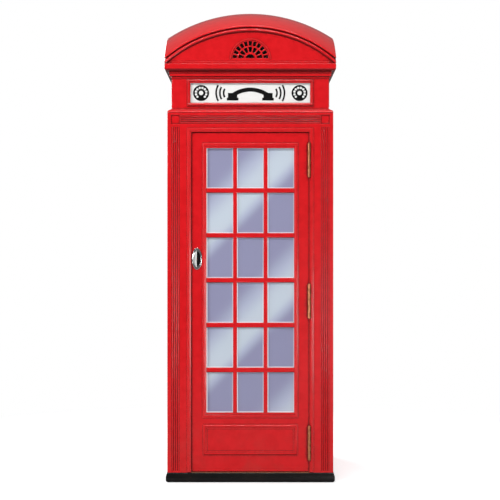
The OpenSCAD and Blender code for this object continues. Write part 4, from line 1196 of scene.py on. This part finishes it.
@dataclass
class GlassPanes(Assembly):
    """The panes of a window, each a sheet whose ground, sunk rim carries a painted highlight."""

    RIM_HIGHLIGHT = "rim"

    node: str = "door_glass"
    body: Body = Body.DOOR
    hidden: float = 6.5 * MM
    ground: float = 6.5 * MM
    dip: float = 1.6 * MM
    rim_light_weights: tuple[float, float, float, float] = (0.95, 0.45, 0.65, 0.2)

    def boxes(self) -> list[tuple[Vector, Vector]]:
        """The lowest and highest corner of each pane of the CAD node."""
        bm = Solid.of_nodes(self.node).bm
        found, seen = [], set()
        for first in bm.verts:
            if first in seen:
                continue
            group, queue = [], [first]
            seen.add(first)
            while queue:
                vert = queue.pop()
                group.append(vert.co.copy())
                for edge in vert.link_edges:
                    other = edge.other_vert(vert)
                    if other not in seen:
                        seen.add(other)
                        queue.append(other)
            found.append((
                Vector([min(p[i] for p in group) for i in range(3)]),
                Vector([max(p[i] for p in group) for i in range(3)]),
            ))
        bm.free()
        return found

    def pane(self, solid: Solid, low: Vector, high: Vector, outward: int) -> None:
        """Adds one pane to a solid.

        Args:
            solid: what takes the pane in.
            low: the pane's lowest corner.
            high: its highest corner.
            outward: which way along its thin axis is outdoors.
        """
        size = high - low
        thin = min((0, 1), key=lambda i: size[i])
        wide = 1 - thin
        layer = solid.bm.verts.layers.float.get(self.RIM_HIGHLIGHT) or solid.bm.verts.layers.float.new(self.RIM_HIGHLIGHT)
        inset = (0.0, self.hidden, self.hidden + 0.45 * self.ground, self.hidden + self.ground)
        # The rim's painted highlight is weighed per side: left, right, foot and head.
        left_weight, right_weight, low_weight, high_weight = self.rim_light_weights
        if (outward > 0) == (thin == 1):
            left_weight, right_weight = right_weight, left_weight
        if thin == 0 and outward > 0:
            left_weight, right_weight = right_weight, left_weight

        def lines(length: float) -> list[tuple[float, int]]:
            """Grid lines across one side, with each line's place in from the rim."""
            near = list(enumerate(inset))
            return [(d, i) for i, d in near] + [(length - d, i) for i, d in reversed(near)]

        fade = (1.0, 1.0, 0.75, 0.0)
        grids = []
        for outdoors in (True, False):
            face = (high if (outward > 0) == outdoors else low)[thin]
            rows = []
            for k, (v, rank_v) in enumerate(lines(size.z)):
                row = []
                for n, (u, rank_u) in enumerate(lines(size[wide])):
                    point = Vector((0, 0, low.z + v))
                    point[wide] = low[wide] + u
                    sunk = self.dip * (3 - min(rank_u, rank_v)) / 3 if outdoors else 0.0
                    point[thin] = face - (outward if outdoors else 0) * sunk
                    vert = solid.bm.verts.new(point)
                    sides = (left_weight if n < 4 else right_weight, low_weight if k < 4 else high_weight)
                    vert[layer] = max(sides[0] * fade[rank_u], sides[1] * fade[rank_v]) if outdoors else 0.0
                    row.append(vert)
                rows.append(row)
            grids.append(rows)
        made = []
        last = len(inset) * 2 - 1
        for rows in grids:
            for k in range(last):
                for n in range(last):
                    ring = (rows[k][n], rows[k][n + 1], rows[k + 1][n + 1], rows[k + 1][n])
                    made.append(solid.bm.faces.new(ring))
        rims = [self.edge_of(rows, last) for rows in grids]
        for i in range(len(rims[0])):
            j = (i + 1) % len(rims[0])
            made.append(solid.bm.faces.new((rims[0][i], rims[0][j], rims[1][j], rims[1][i])))
        bmesh.ops.recalc_face_normals(solid.bm, faces=made)

    @staticmethod
    def edge_of(rows: list[list[Any]], last: int) -> list[Any]:
        """The vertices round a square grid, in order."""
        foot, head = rows[0][:last], [rows[last][n] for n in range(last, 0, -1)]
        return foot + [rows[k][last] for k in range(last)] + head + [rows[k][0] for k in range(last, 0, -1)]

    def build(self) -> None:
        """Makes all the panes of the window as one piece."""
        solid = Solid()
        for low, high in self.boxes():
            middle = (low + high) / 2
            size = high - low
            outward = 1 if (middle.x if size.x < size.y else middle.y) > 0 else -1
            self.pane(solid, low, high, outward)
        self.add(f"{self.node}_panes", solid.object(f"{self.node}_panes"), PANE, self.node, body=self.body)


@dataclass
class Base(Assembly):
    """The concrete slab, the cast plinth round it, and the bright sill under the door."""

    plinth_ease: float = 3.2 * MM

    def build(self) -> None:
        """Makes the base."""
        self.eased("plinth", BLACK, self.plinth_ease, steps=3, least=1.6)
        self.eased("floor_slab", STONE, 2 * MM)
        self.eased("door_sill", BRASS, 1 * MM)


@dataclass
class Walls(Assembly):
    """The four cast walls, with their corner blocks, and the bolts that hold them together."""

    ease: float = 1.4 * MM

    def build(self) -> None:
        """Makes the walls, and the bolts in rows up each corner."""
        for node in ("front_frame", "left_side_frame", "right_side_frame", "back_panel"):
            self.eased(node, RED, self.ease)
        self.eased("frame_bolts", STEEL, 0.8 * MM)
        self.eased("cable_conduit", CREAM, 0.8 * MM)
        self.eased("conduit_clips", STEEL, 0.5 * MM)


@dataclass
class Glazing(Assembly):
    """The glazing bars of one window and the beads that hold its panes."""

    bars: str = "door_bars"
    beads: str = "door_beads"
    body: Body = Body.DOOR
    nose: float = 6.0 * MM
    longest: float = 60 * MM

    def build(self) -> None:
        """Makes the bars with rounded noses, and the beads."""
        self.eased(self.bars, RED, self.nose, self.body, steps=5, least=2.0, run=self.longest)
        if self.beads:
            self.eased(self.beads, RED, 1 * MM, self.body)


@dataclass
class Crown(Assembly):
    """Ledge, frieze with its lit signs, cornice, pediments, vents and the domed roof."""

    sides: tuple[str, ...] = ("front", "left", "back", "right")
    sign_half: float = 351.5 * MM
    sign_low: float = 2226 * MM
    sign_high: float = 2343 * MM
    frieze_face: float = -461.5 * MM
    dome_lip: float = 3.0 * MM

    SIGN = ((0, 0), (0, 3), (1.5, 4.2), (4.6, 4.5), (5.4, 7.4), (7.6, 8.4), (10.2, 8.4), (12.4, 7.2),
            (14, 5), (19.2, 4.2), (20, 3.2), (20, 0))

    def sign_moulding(self) -> Solid:
        """The moulding round one sign."""
        rim = self.SIGN[-1][0] * MM
        return moulding(
            -self.sign_half - rim, self.sign_half + rim, self.sign_low - rim, self.sign_high + rim,
            self.frieze_face, Mouldings.section(self.SIGN),
        )

    def build(self) -> None:
        """Makes the crown from the ledge up."""
        self.eased("ledge_ring", RED, 2.4 * MM, steps=3)
        self.eased("frieze_ring", RED, 1.2 * MM)
        self.eased("cornice_ring", RED, 1.8 * MM, steps=3, least=2.0)
        self.eased("sign_retainers", STEEL, 0.6 * MM)
        self.eased("vent_baffles", SIGN_BLACK, 0.5 * MM)
        self.eased("roof_dome", RED, self.dome_lip, steps=4, least=1.4)
        self.eased("sign_glasses", OPAL, 0.8 * MM)
        self.eased("sign_symbols", SIGN_BLACK, 0.3 * MM)
        for side, turn in zip(self.sides, QUARTERS):
            self.eased(f"{side}_pediment", RED, 1.4 * MM)
            self.add(f"sign_moulding_{side}", self.sign_moulding().moved(turn), RED)


@dataclass
class Lighting(Assembly):
    """The ceiling and the lamp on it."""

    def build(self) -> None:
        """Makes the ceiling, the fitting, the bulb and the opal bowl."""
        self.eased("ceiling_panel", CREAM, 1.2 * MM)
        self.eased("lamp_base", PORCELAIN, 1.5 * MM)
        self.add("lamp_bulb_piece", Solid.of_nodes("lamp_bulb"), BULB, "lamp_bulb")
        self.add("lamp_bowl_piece", Solid.of_nodes("lamp_bowl"), LAMP_OPAL, "lamp_bowl")


@dataclass
class Door(Assembly):
    """The door leaf with its pulls."""

    ease: float = 1.4 * MM
    pull_centre: tuple[float, float] = (-312.5 * MM, 1309 * MM)
    pull_half: Pair = (30 * MM, 64 * MM)
    cup_half: Pair = (22.5 * MM, 49.5 * MM)
    face: float = -480 * MM
    cup_depth: float = 16.5 * MM
    steps: int = 64

    LIP = ((0.0, -0.9), (0.0, -2.6), (0.2, -3.6), (0.5, -3.95), (0.8, -3.5), (0.97, -2.2), (0.9, -0.9))
    NARROWING = 0.45
    GRIP_STEPS = 24

    def oval(self, half: Pair, depth: float, pointed: float = 0.0) -> list[Vector]:
        """A ring of points at one depth of the pull.

        Args:
            half: its half width and half height.
            depth: how far in front of the door's face it lies.
            pointed: how far its ends are drawn from round towards a lens's point.

        Returns:
            The points.
        """
        ring = []
        for i in range(self.steps):
            t = 2 * math.pi * i / self.steps
            narrow = 1 - pointed * abs(math.sin(t)) ** 3 * self.NARROWING
            ring.append(Vector((
                self.pull_centre[0] + half[0] * math.cos(t) * narrow, self.face - depth,
                self.pull_centre[1] + half[1] * math.sin(t),
            )))
        return ring

    def escutcheon(self) -> Solid:
        """The rounded rim of the flush pull, as one closed skin."""
        (rim_w, rim_h), (cup_w, cup_h) = self.pull_half, self.cup_half
        rings = [self.oval((rim_w, rim_h), 0.0)]
        for inward, height in ((0.0, 1.4), (0.8, 2.8), (2.2, 3.8), (4.0, 3.9)):
            rings.append(self.oval((rim_w - inward * MM, rim_h - inward * MM), height * MM))
        for inward, height in ((-1.2, 3.2), (0.2, 1.8), (0.9, -0.6), (0.9, -1.6)):
            rings.append(self.oval((cup_w - inward * MM, cup_h - inward * MM), height * MM, 1.0))
        rings.append(self.oval((cup_w - 0.2 * MM, cup_h - 0.2 * MM), -1.6 * MM, 1.0))
        rings.append(self.oval((cup_w - 0.2 * MM, cup_h - 0.2 * MM), 0.0, 1.0))
        return Solid().skin(rings, True, False)

    def cup(self) -> Solid:
        """The cup sunk behind the rim, in black enamel that is painted shade in the recess."""
        cup_w, cup_h = self.cup_half
        rings = [
            self.oval((cup_w - inward * MM, cup_h - inward * MM), height * MM, 1.0)
            for inward, height in ((0.5, -0.4), (1.2, -0.4), (1.8, -8.0), (3.8, -13.5), (8.0, -15.8))
        ]
        rings.append(self.oval((2 * MM, 8 * MM), -self.cup_depth, 1.0))
        rings.append(self.oval((2 * MM, 8 * MM), -self.cup_depth - 1 * MM, 1.0))
        rings += [
            self.oval((cup_w - inward * MM, cup_h - inward * MM), height * MM, 1.0)
            for inward, height in ((7.4, -16.9), (3.0, -14.4), (0.5, -8.4))
        ]
        return Solid().skin(rings, True, False)

    def grip(self) -> Solid:
        """The lip over the cup's left half that the fingers draw on."""
        cup_w, cup_h = self.cup_half
        rings = []
        for i in range(self.GRIP_STEPS + 1):
            t = math.pi / 2 + math.pi * i / self.GRIP_STEPS
            narrow = 1 - abs(math.sin(t)) ** 3 * self.NARROWING
            z = self.pull_centre[1] + (cup_h + 0.6 * MM) * math.sin(t)
            outer = self.pull_centre[0] + (cup_w + 0.6 * MM) * math.cos(t) * narrow - 0.4 * MM
            inner = self.pull_centre[0] - (1.5 * MM) * abs(math.cos(t)) - 0.2 * MM
            wide = inner - outer
            rings.append([Vector((outer + wide * u, self.face + y * MM, z)) for u, y in self.LIP])
        return Solid().skin(rings, False, True)

    def inner_pull(self) -> Solid:
        """The bar handle indoors: a turned bar on two turned stalks."""
        low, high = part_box("inner_pull")
        x, bar_y, r = (low.x + high.x) / 2, high.y - 9 * MM, 9 * MM
        length = high.z - low.z
        half = [(0.55, 0), (0.85, 1.2 * MM), (1, 4 * MM), (1, 14 * MM), (0.88, 22 * MM)]
        profile = [(r * share, along) for share, along in half]
        profile += [(r * 0.92, length / 2)]
        profile += [(r * share, length - along) for share, along in reversed(half)]
        bar = turned(profile, (x, bar_y, low.z), Axis.Z, 28)
        for z in (low.z + r, high.z - r):
            reach = bar_y - low.y
            bar.join(turned([
                (7 * MM, 0), (7 * MM, reach - 12 * MM), (8.5 * MM, reach - 7 * MM),
                (14 * MM, reach - 3.6 * MM), (17 * MM, reach - 2.6 * MM), (17 * MM, reach),
            ], (x, bar_y, z), Axis.FRONT, 28))
        return bar

    def build(self) -> None:
        """Makes the leaf, the flush pull and the bar handle."""
        self.eased("door_frame", RED, self.ease, Body.DOOR)
        self.add("pull_escutcheon", self.escutcheon(), CHROME, "door_pull", body=Body.DOOR)
        # The cup's black enamel is painted shade in the recess of the pull.
        self.add("pull_cup", self.cup(), SAFE_BLACK, body=Body.DOOR)
        self.add("pull_grip", self.grip(), SATIN, body=Body.DOOR)
        self.add("inner_pull_bar", self.inner_pull(), CHROME, "inner_pull", body=Body.DOOR)


@dataclass
class Hinges(Assembly):
    """The three butt hinges, with turned pins and their screws."""

    knuckles: float = 195 * MM
    middle: float = 1062 * MM
    clear: float = 0.4 * MM
    pin_radius: float = 4.5 * MM

    def pins(self) -> Solid:
        """The pins, each with a turned finial at both ends."""
        low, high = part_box("hinge_pins")
        x, y = (low.x + high.x) / 2, (low.y + high.y) / 2
        widest = (high.x - low.x) / 2
        leaf_low, leaf_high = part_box("jamb_hinge_leaves")
        solid = Solid()
        inward = self.knuckles / 2 - self.clear
        lowest, highest = leaf_low.z + inward, leaf_high.z - inward
        half = high.z - highest
        for z in (lowest, self.middle, highest):
            finial = [
                (widest * 0.3, half), (widest * 0.62, half - 0.8 * MM), (widest * 0.72, half - 1.9 * MM),
                (widest, half - 2.6 * MM), (widest, half - 4.4 * MM), (self.pin_radius, half - 5 * MM),
            ]
            profile = [(radius, -along) for radius, along in finial] + finial[::-1]
            solid.join(turned(profile, (x, y, z), Axis.Z, 24))
        return solid

    def build(self) -> None:
        """Makes leaves, pins and screws."""
        self.eased("jamb_hinge_leaves", BRASS, 0.5 * MM)
        self.eased("door_hinge_leaves", BRASS, 0.5 * MM, Body.DOOR)
        self.add("hinge_pins_turned", self.pins(), BRASS, "hinge_pins")
        self.eased("jamb_hinge_screws", BRASS, 0.3 * MM)
        self.eased("door_hinge_screws", BRASS, 0.3 * MM, Body.DOOR)


@dataclass
class Screws(Assembly):
    """The slotted round-head screws that hold the fittings to the back of the kiosk."""

    head: float = 3.6 * MM
    slot: float = 0.5 * MM
    rise: float = 1.7 * MM

    LAST = 86

    def screw(self) -> Solid:
        """One screw head that faces the front, with its slot along Z."""
        solid = turned([(0.4 * MM, 0.0), (self.head, 0.0), (self.head, 0.5 * MM), (0.4 * MM, 0.5 * MM)],
                       (0, 0, 0), Axis.FRONT, 20)
        for side in (-1, 1):
            rings = []
            for share, height in ((1.0, 0.5 * MM), (0.97, 0.9 * MM), (0.86, 1.3 * MM), (0.6, self.rise)):
                turns = [math.radians(-self.LAST + 2 * self.LAST * i / 10) for i in range(11)]
                radius = self.head * share
                rings.append([
                    Vector((side * max(self.slot, radius * math.cos(t)), -height, radius * math.sin(t)))
                    for t in turns
                ])
            solid.join(Solid().skin(rings, False, True))
        return solid

    def build(self) -> None:
        """Sets the screws out: the payphone, the coin plate, the backboard and the notice frame."""
        part = self.screw().object("screw_part")
        grids = (
            ("payphone_screws", STEEL, (-138, 271, 1012), (276, 396), (2, 2)),
            ("coin_plate_screws", BRASS, (-55, 267, 1385.5), (110, 1), (2, 1)),
            ("backboard_screws", BRASS, (-196, 421, 834), (392, 296.7), (2, 4)),
            ("notice_screws", BRASS, (-123, 411, 1487), (186, 226), (2, 2)),
        )
        for seed, (name, finish, corner, pitch, counts) in enumerate(grids):
            grid = FastenerPattern().grow(
                finish, part, Columns=counts[0], Rows=counts[1], Column_Pitch=pitch[0] * MM,
                Row_Pitch=pitch[1] * MM, Seed=seed,
            )
            self.add(name, grid.moved(Matrix.Translation(Vector(corner) * MM)), finish)
        bpy.data.objects.remove(part)


@dataclass
class Handset(Assembly):
    """The handset on its hook: a swelling grip, a seat collar, and turned ear and mouth cups."""

    spot: Pair = (-192 * MM, 297 * MM)
    ear: float = 1362.3 * MM
    mouth: float = 1160 * MM
    seat: float = 1334.3 * MM

    def build(self) -> None:
        """Makes the handset as one piece."""
        x, y = self.spot
        levels = [self.mouth + (self.ear - 12 * MM - self.mouth) * i / 12 for i in range(13)]
        widths = [9.6 + 1.4 * math.sin(math.pi * i / 12) for i in range(13)]
        grip = swept([Vector((x, y, z)) for z in levels], [(w * MM, 0.92 * w * MM) for w in widths],
                     Vector((1, 0, 0)), 20)
        ear = ((8, -13), (23, -13), (26, -11.5), (27, -8), (27, 2), (25.5, 6), (21, 9), (18, 12), (18.6, 15),
               (22, 19), (26, 21), (27, 22.5), (26.4, 24), (21, 24), (18, 22.2), (2, 21.6))
        mouth = ((8, -12), (21, -12), (24, -10.5), (25, -7), (25, 2), (22, 7), (15, 11), (12.5, 15), (13, 19),
                 (18, 24), (24, 27), (25, 28.6), (24.2, 30), (19, 30), (16, 28), (2, 26.4))
        collar = ((8, 0), (20, 0), (21.6, 0.7), (22, 2), (22, 7), (21, 8.4), (17, 9), (11, 11.5), (8, 12))
        stub = ((3.2, 0), (4.4, 0.3), (5, 1.2), (5, 16), (4.6, 20))
        shapes = (
            (ear, (x, y, self.ear), Axis.FRONT), (mouth, (x, y, self.mouth), Axis.FRONT),
            (collar, (x, y, self.seat), Axis.Z), (stub, (x, y, 1121 * MM), Axis.Z),
        )
        for profile, centre, axis in shapes:
            grip.join(turned([(r * MM, h * MM) for r, h in profile], centre, axis, 40))
        self.add("handset_piece", grip, BAKELITE, "handset", body=Body.HANDSET)


@dataclass
class Notice(Assembly):
    """The notice frame and the blank card that is pinned in it, in millimetres until it is made."""

    CARD_FACE = 416.2
    PIN = ((0.4, -0.4), (3, -0.4), (3.4, 0.3), (2.6, 1.2), (0.4, 1.5))

    def build(self) -> None:
        """Makes the frame, the card with its rounded corners, and its pins."""
        self.eased("notice_frame", STEEL, 1.5 * MM)
        rings = []
        for y in (416.9, 416.4, self.CARD_FACE):
            inset = 0.3 if y == self.CARD_FACE else 0.0
            rings.append([
                Vector((px, y, pz)) * MM
                for cx, cz, start in ((43, 1698, 0), (-103, 1698, 90), (-103, 1502, 180), (43, 1502, 270))
                for px, pz in arc((cx, cz), 5 - inset, start, start + 90, 5)
            ])
        self.add("notice_card", Solid().skin(rings, False, True), CARD)
        pins = Solid()
        for px, pz in ((-98, 1693), (38, 1693), (-98, 1507), (38, 1507)):
            profile = [(r * MM, h * MM) for r, h in self.PIN]
            pins.join(turned(profile, Vector((px, self.CARD_FACE, pz)) * MM, Axis.FRONT, 16))
        self.add("notice_pins", pins, BRASS)


@dataclass
class Payphone(Assembly):
    """The payphone on its backboard, with the dial, buttons and coin fittings."""

    ease: float = 4.0 * MM
    dial: float = 1305 * MM
    number_ring: float = 29 * MM
    number_size: float = 9.5 * MM
    number_face: float = 262.9 * MM
    hub_face: float = 256 * MM

    HUB = ((2, -0.2), (11.4, -0.2), (11.4, 0.9), (10.9, 1.3), (10, 1.3), (9.6, 0.7), (9, 0.7), (2, 0.8))

    def numbers(self) -> Solid:
        """The ten digits on the dial's base, seen through the finger holes."""
        solid = Solid()
        for i in range(10):
            words = bpy.data.curves.new("numeral", "FONT")
            words.body, words.size, words.extrude = str((i + 1) % 10), self.number_size, 0.15 * MM
            words.align_x, words.align_y, words.resolution_u = "CENTER", "CENTER", 3
            thing = bpy.data.objects.new("numeral", words)
            bpy.context.scene.collection.objects.link(thing)
            bpy.context.view_layer.update()
            graph = bpy.context.evaluated_depsgraph_get()
            mesh = bpy.data.meshes.new_from_object(thing.evaluated_get(graph))
            numeral = Solid()
            numeral.bm.from_mesh(mesh)
            bmesh.ops.remove_doubles(numeral.bm, verts=numeral.bm.verts, dist=1e-6)
            angle = math.radians(60 + 30 * i)
            x, z = self.number_ring * math.cos(angle), self.dial + self.number_ring * math.sin(angle)
            spot = (x, self.number_face, z)
            solid.join(numeral.moved(Matrix.Translation(spot) @ Matrix.Rotation(math.pi / 2, 4, "X")))
            bpy.data.objects.remove(thing)
        return solid

    def hub(self) -> Solid:
        """The dial's hub: a dished cap with a ring round a plain card."""
        profile = [(r * MM, h * MM) for r, h in self.HUB]
        return turned(profile, (0, self.hub_face, self.dial), Axis.FRONT, 40)

    def build(self) -> None:
        """Makes the payphone's pieces."""
        self.eased("backboard", WOOD, 3 * MM, steps=3)
        self.eased("payphone_case", SAFE_BLACK, self.ease, steps=3, least=2.0)
        self.eased("coin_slot_plate", BRASS, 0.8 * MM)
        self.eased("dial_base", BAKELITE, 1.2 * MM)
        self.eased("finger_stop", CHROME, 0.5 * MM)
        self.eased("coin_return_cup", SATIN, 0.8 * MM)
        self.add("dial_numbers", self.numbers(), CREAM)
        self.add("dial_hub_card", self.hub(), CREAM, body=Body.DIAL)
        self.eased("cash_door", SAFE_BLACK, 1.4 * MM, Body.CASH_DOOR)
        self.eased("cash_lock", CHROME, 0.8 * MM, Body.CASH_LOCK)
        self.eased("button_a", SATIN, 1.5 * MM, Body.BUTTON_A, steps=3)
        self.eased("button_b", SATIN, 1.5 * MM, Body.BUTTON_B, steps=3)
        self.eased("dial_wheel", SATIN, 0.7 * MM, Body.DIAL)
        self.eased("switch_hook", CHROME, 0.8 * MM, Body.HOOK)
        self.eased("coin_return_flap", SATIN, 0.8 * MM, Body.RETURN_FLAP)


@dataclass
class Furniture(Assembly):
    """The parcel shelf below the payphone."""

    def build(self) -> None:
        """Makes the shelf."""
        self.eased("parcel_shelf", WOOD, 3 * MM, steps=3)
@dataclass
class Studio:
    """The floor, the lights, the backdrop light and the camera."""

    distance: float = 7.213
    height: float = 1.361
    aside: float = -0.0018
    lens: float = 88.9
    floor_size: float = 60.0
    pale: float = 0.16

    def build(self) -> None:
        """Sets the whole studio up."""
        self.floor()
        self.world()
        self.lights()
        self.camera()
        bpy.context.scene.view_settings.view_transform = "Standard"

    def floor(self) -> None:
        """A pale floor that takes a soft shadow near the kiosk and fades out to white."""
        half, low = self.floor_size / 2, CAD_BOX[0].z
        corners = ((-half, -half), (half, -half), (half, half), (-half, half))
        solid = Solid()
        solid.bm.faces.new([solid.bm.verts.new((x, y, low)) for x, y in corners])
        thing = solid.object("studio_floor")
        thing.data.materials.append(self.floor_material())

    @staticmethod
    def floor_material() -> bpy.types.Material:
        """Makes the floor's material."""
        made = bpy.data.materials.new("studio_floor")
        made.use_nodes = True
        made.node_tree.nodes.clear()
        tree = Tree(made.node_tree)
        flat = tree.add("ShaderNodeVectorMath", {0: tree.place((0.32, 0.32, 0))}, operation="LENGTH")
        far = tree.ramp(flat.outputs["Value"], 0.3, 1.0)
        matt = tree.add("ShaderNodeBsdfDiffuse", {"Color": (0.9, 0.9, 0.9)}).outputs[0]
        lift = tree.add("ShaderNodeEmission", {"Color": (1.0, 1.0, 1.0), "Strength": 0.45}).outputs[0]
        near = tree.add("ShaderNodeAddShader", {0: matt, 1: lift}).outputs[0]
        white = tree.add("ShaderNodeEmission", {"Color": (1.0, 1.0, 1.0), "Strength": 1.0}).outputs[0]
        seen = tree.add("ShaderNodeMixShader", {0: far, 1: near, 2: white}).outputs[0]
        grey = tree.add("ShaderNodeBsdfDiffuse", {"Color": (0.35, 0.35, 0.35)}).outputs[0]
        direct = tree.add("ShaderNodeLightPath").outputs["Is Camera Ray"]
        both = tree.add("ShaderNodeMixShader", {0: direct, 1: grey, 2: seen}).outputs[0]
        tree.add("ShaderNodeOutputMaterial", {"Surface": both})
        return made

    def world(self) -> None:
        """A white backdrop that lights the kiosk only softly, brighter overhead than below."""
        world = bpy.data.worlds.new("studio_world")
        bpy.context.scene.world = world
        world.use_nodes = True
        world.node_tree.nodes.clear()
        tree = Tree(world.node_tree)
        ray = tree.add("ShaderNodeTexCoord").outputs["Generated"]
        up = tree.add("ShaderNodeSeparateXYZ", {0: ray})
        level = tree.ramp(up.outputs["Z"], -0.2, 0.9, self.pale * 0.75, self.pale * 1.5)
        soft = tree.add("ShaderNodeBackground", {"Color": (1.0, 1.0, 1.0), "Strength": level}).outputs[0]
        white = tree.add("ShaderNodeBackground", {"Color": (1.0, 1.0, 1.0), "Strength": 1.0}).outputs[0]
        direct = tree.add("ShaderNodeLightPath").outputs["Is Camera Ray"]
        both = tree.add("ShaderNodeMixShader", {0: direct, 1: soft, 2: white}).outputs[0]
        tree.add("ShaderNodeOutputWorld", {"Surface": both})

    def lights(self) -> None:
        """Soft panels: a key high on the left, a fill on the right, a top light and one behind."""
        panels = (
            ("key", (-3.4, -5.4, 5.4), (1.4, 1.4), 110.0),
            ("overhead_strip", (0.0, -6.0, 6.6), (5.0, 0.6), 215.0),
            ("left_strip", (-5.0, -4.4, 1.3), (0.5, 4.0), 130.0),
            ("fill", (2.6, -6.8, 0.5), (2.6, 1.4), 100.0),
            ("top", (0.4, -0.6, 6.4), (2.6, 2.6), 70.0),
            ("back_left", (-3.4, 5.0, 3.6), (2.8, 2.8), 260.0),
            ("back_right", (4.6, 3.6, 2.2), (2.8, 2.8), 150.0),
        )
        target = (CAD_BOX[0] + CAD_BOX[1]) / 2
        for name, place, size, power in panels:
            data = bpy.data.lights.new(name, "AREA")
            data.shape, data.energy = "RECTANGLE", power
            data.size, data.size_y = size
            lamp = bpy.data.objects.new(name, data)
            lamp.location = place
            lamp.visible_camera = False
            lamp.rotation_mode = "QUATERNION"
            lamp.rotation_quaternion = (target - Vector(place)).to_track_quat("-Z", "Y")
            bpy.context.scene.collection.objects.link(lamp)

    def camera(self) -> None:
        """A level camera straight in front of the door."""
        data = bpy.data.cameras.new("camera")
        data.lens, data.sensor_width = self.lens, 36.0
        camera = bpy.data.objects.new("camera", data)
        camera.location = (self.aside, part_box("front_pediment")[0].y - self.distance, self.height)
        camera.rotation_mode = "QUATERNION"
        camera.rotation_quaternion = Vector((0, 1, 0)).to_track_quat("-Z", "Y")
        bpy.context.scene.collection.objects.link(camera)
        bpy.context.scene.camera = camera


def main() -> None:
    """Builds and dresses every sub-assembly in turn, then the studio."""
    logging.basicConfig(level=logging.INFO, format="%(message)s")
    assemblies = [
        Base(),
        Walls(),
        Reeding(),
        *(Mouldings(wall=wall) for wall in range(4)),
        Glazing(bars="left_window_bars", beads="window_beads", body=Body.BOOTH),
        Glazing(bars="right_window_bars", beads="", body=Body.BOOTH),
        Glazing(),
        GlassPanes(node="left_window_glass", body=Body.BOOTH),
        GlassPanes(node="right_window_glass", body=Body.BOOTH),
        GlassPanes(),
        Crown(),
        Lighting(),
        Door(),
        Hinges(),
        Payphone(),
        Handset(),
        Notice(),
        Screws(),
        Furniture(),
    ]
    for assembly in assemblies:
        assembly.build()
        assembly.dress()
        LOG.info("%s: %d pieces", type(assembly).__name__, len(assembly.pieces))
    Studio().build()


if __name__ == "__main__":
    main()
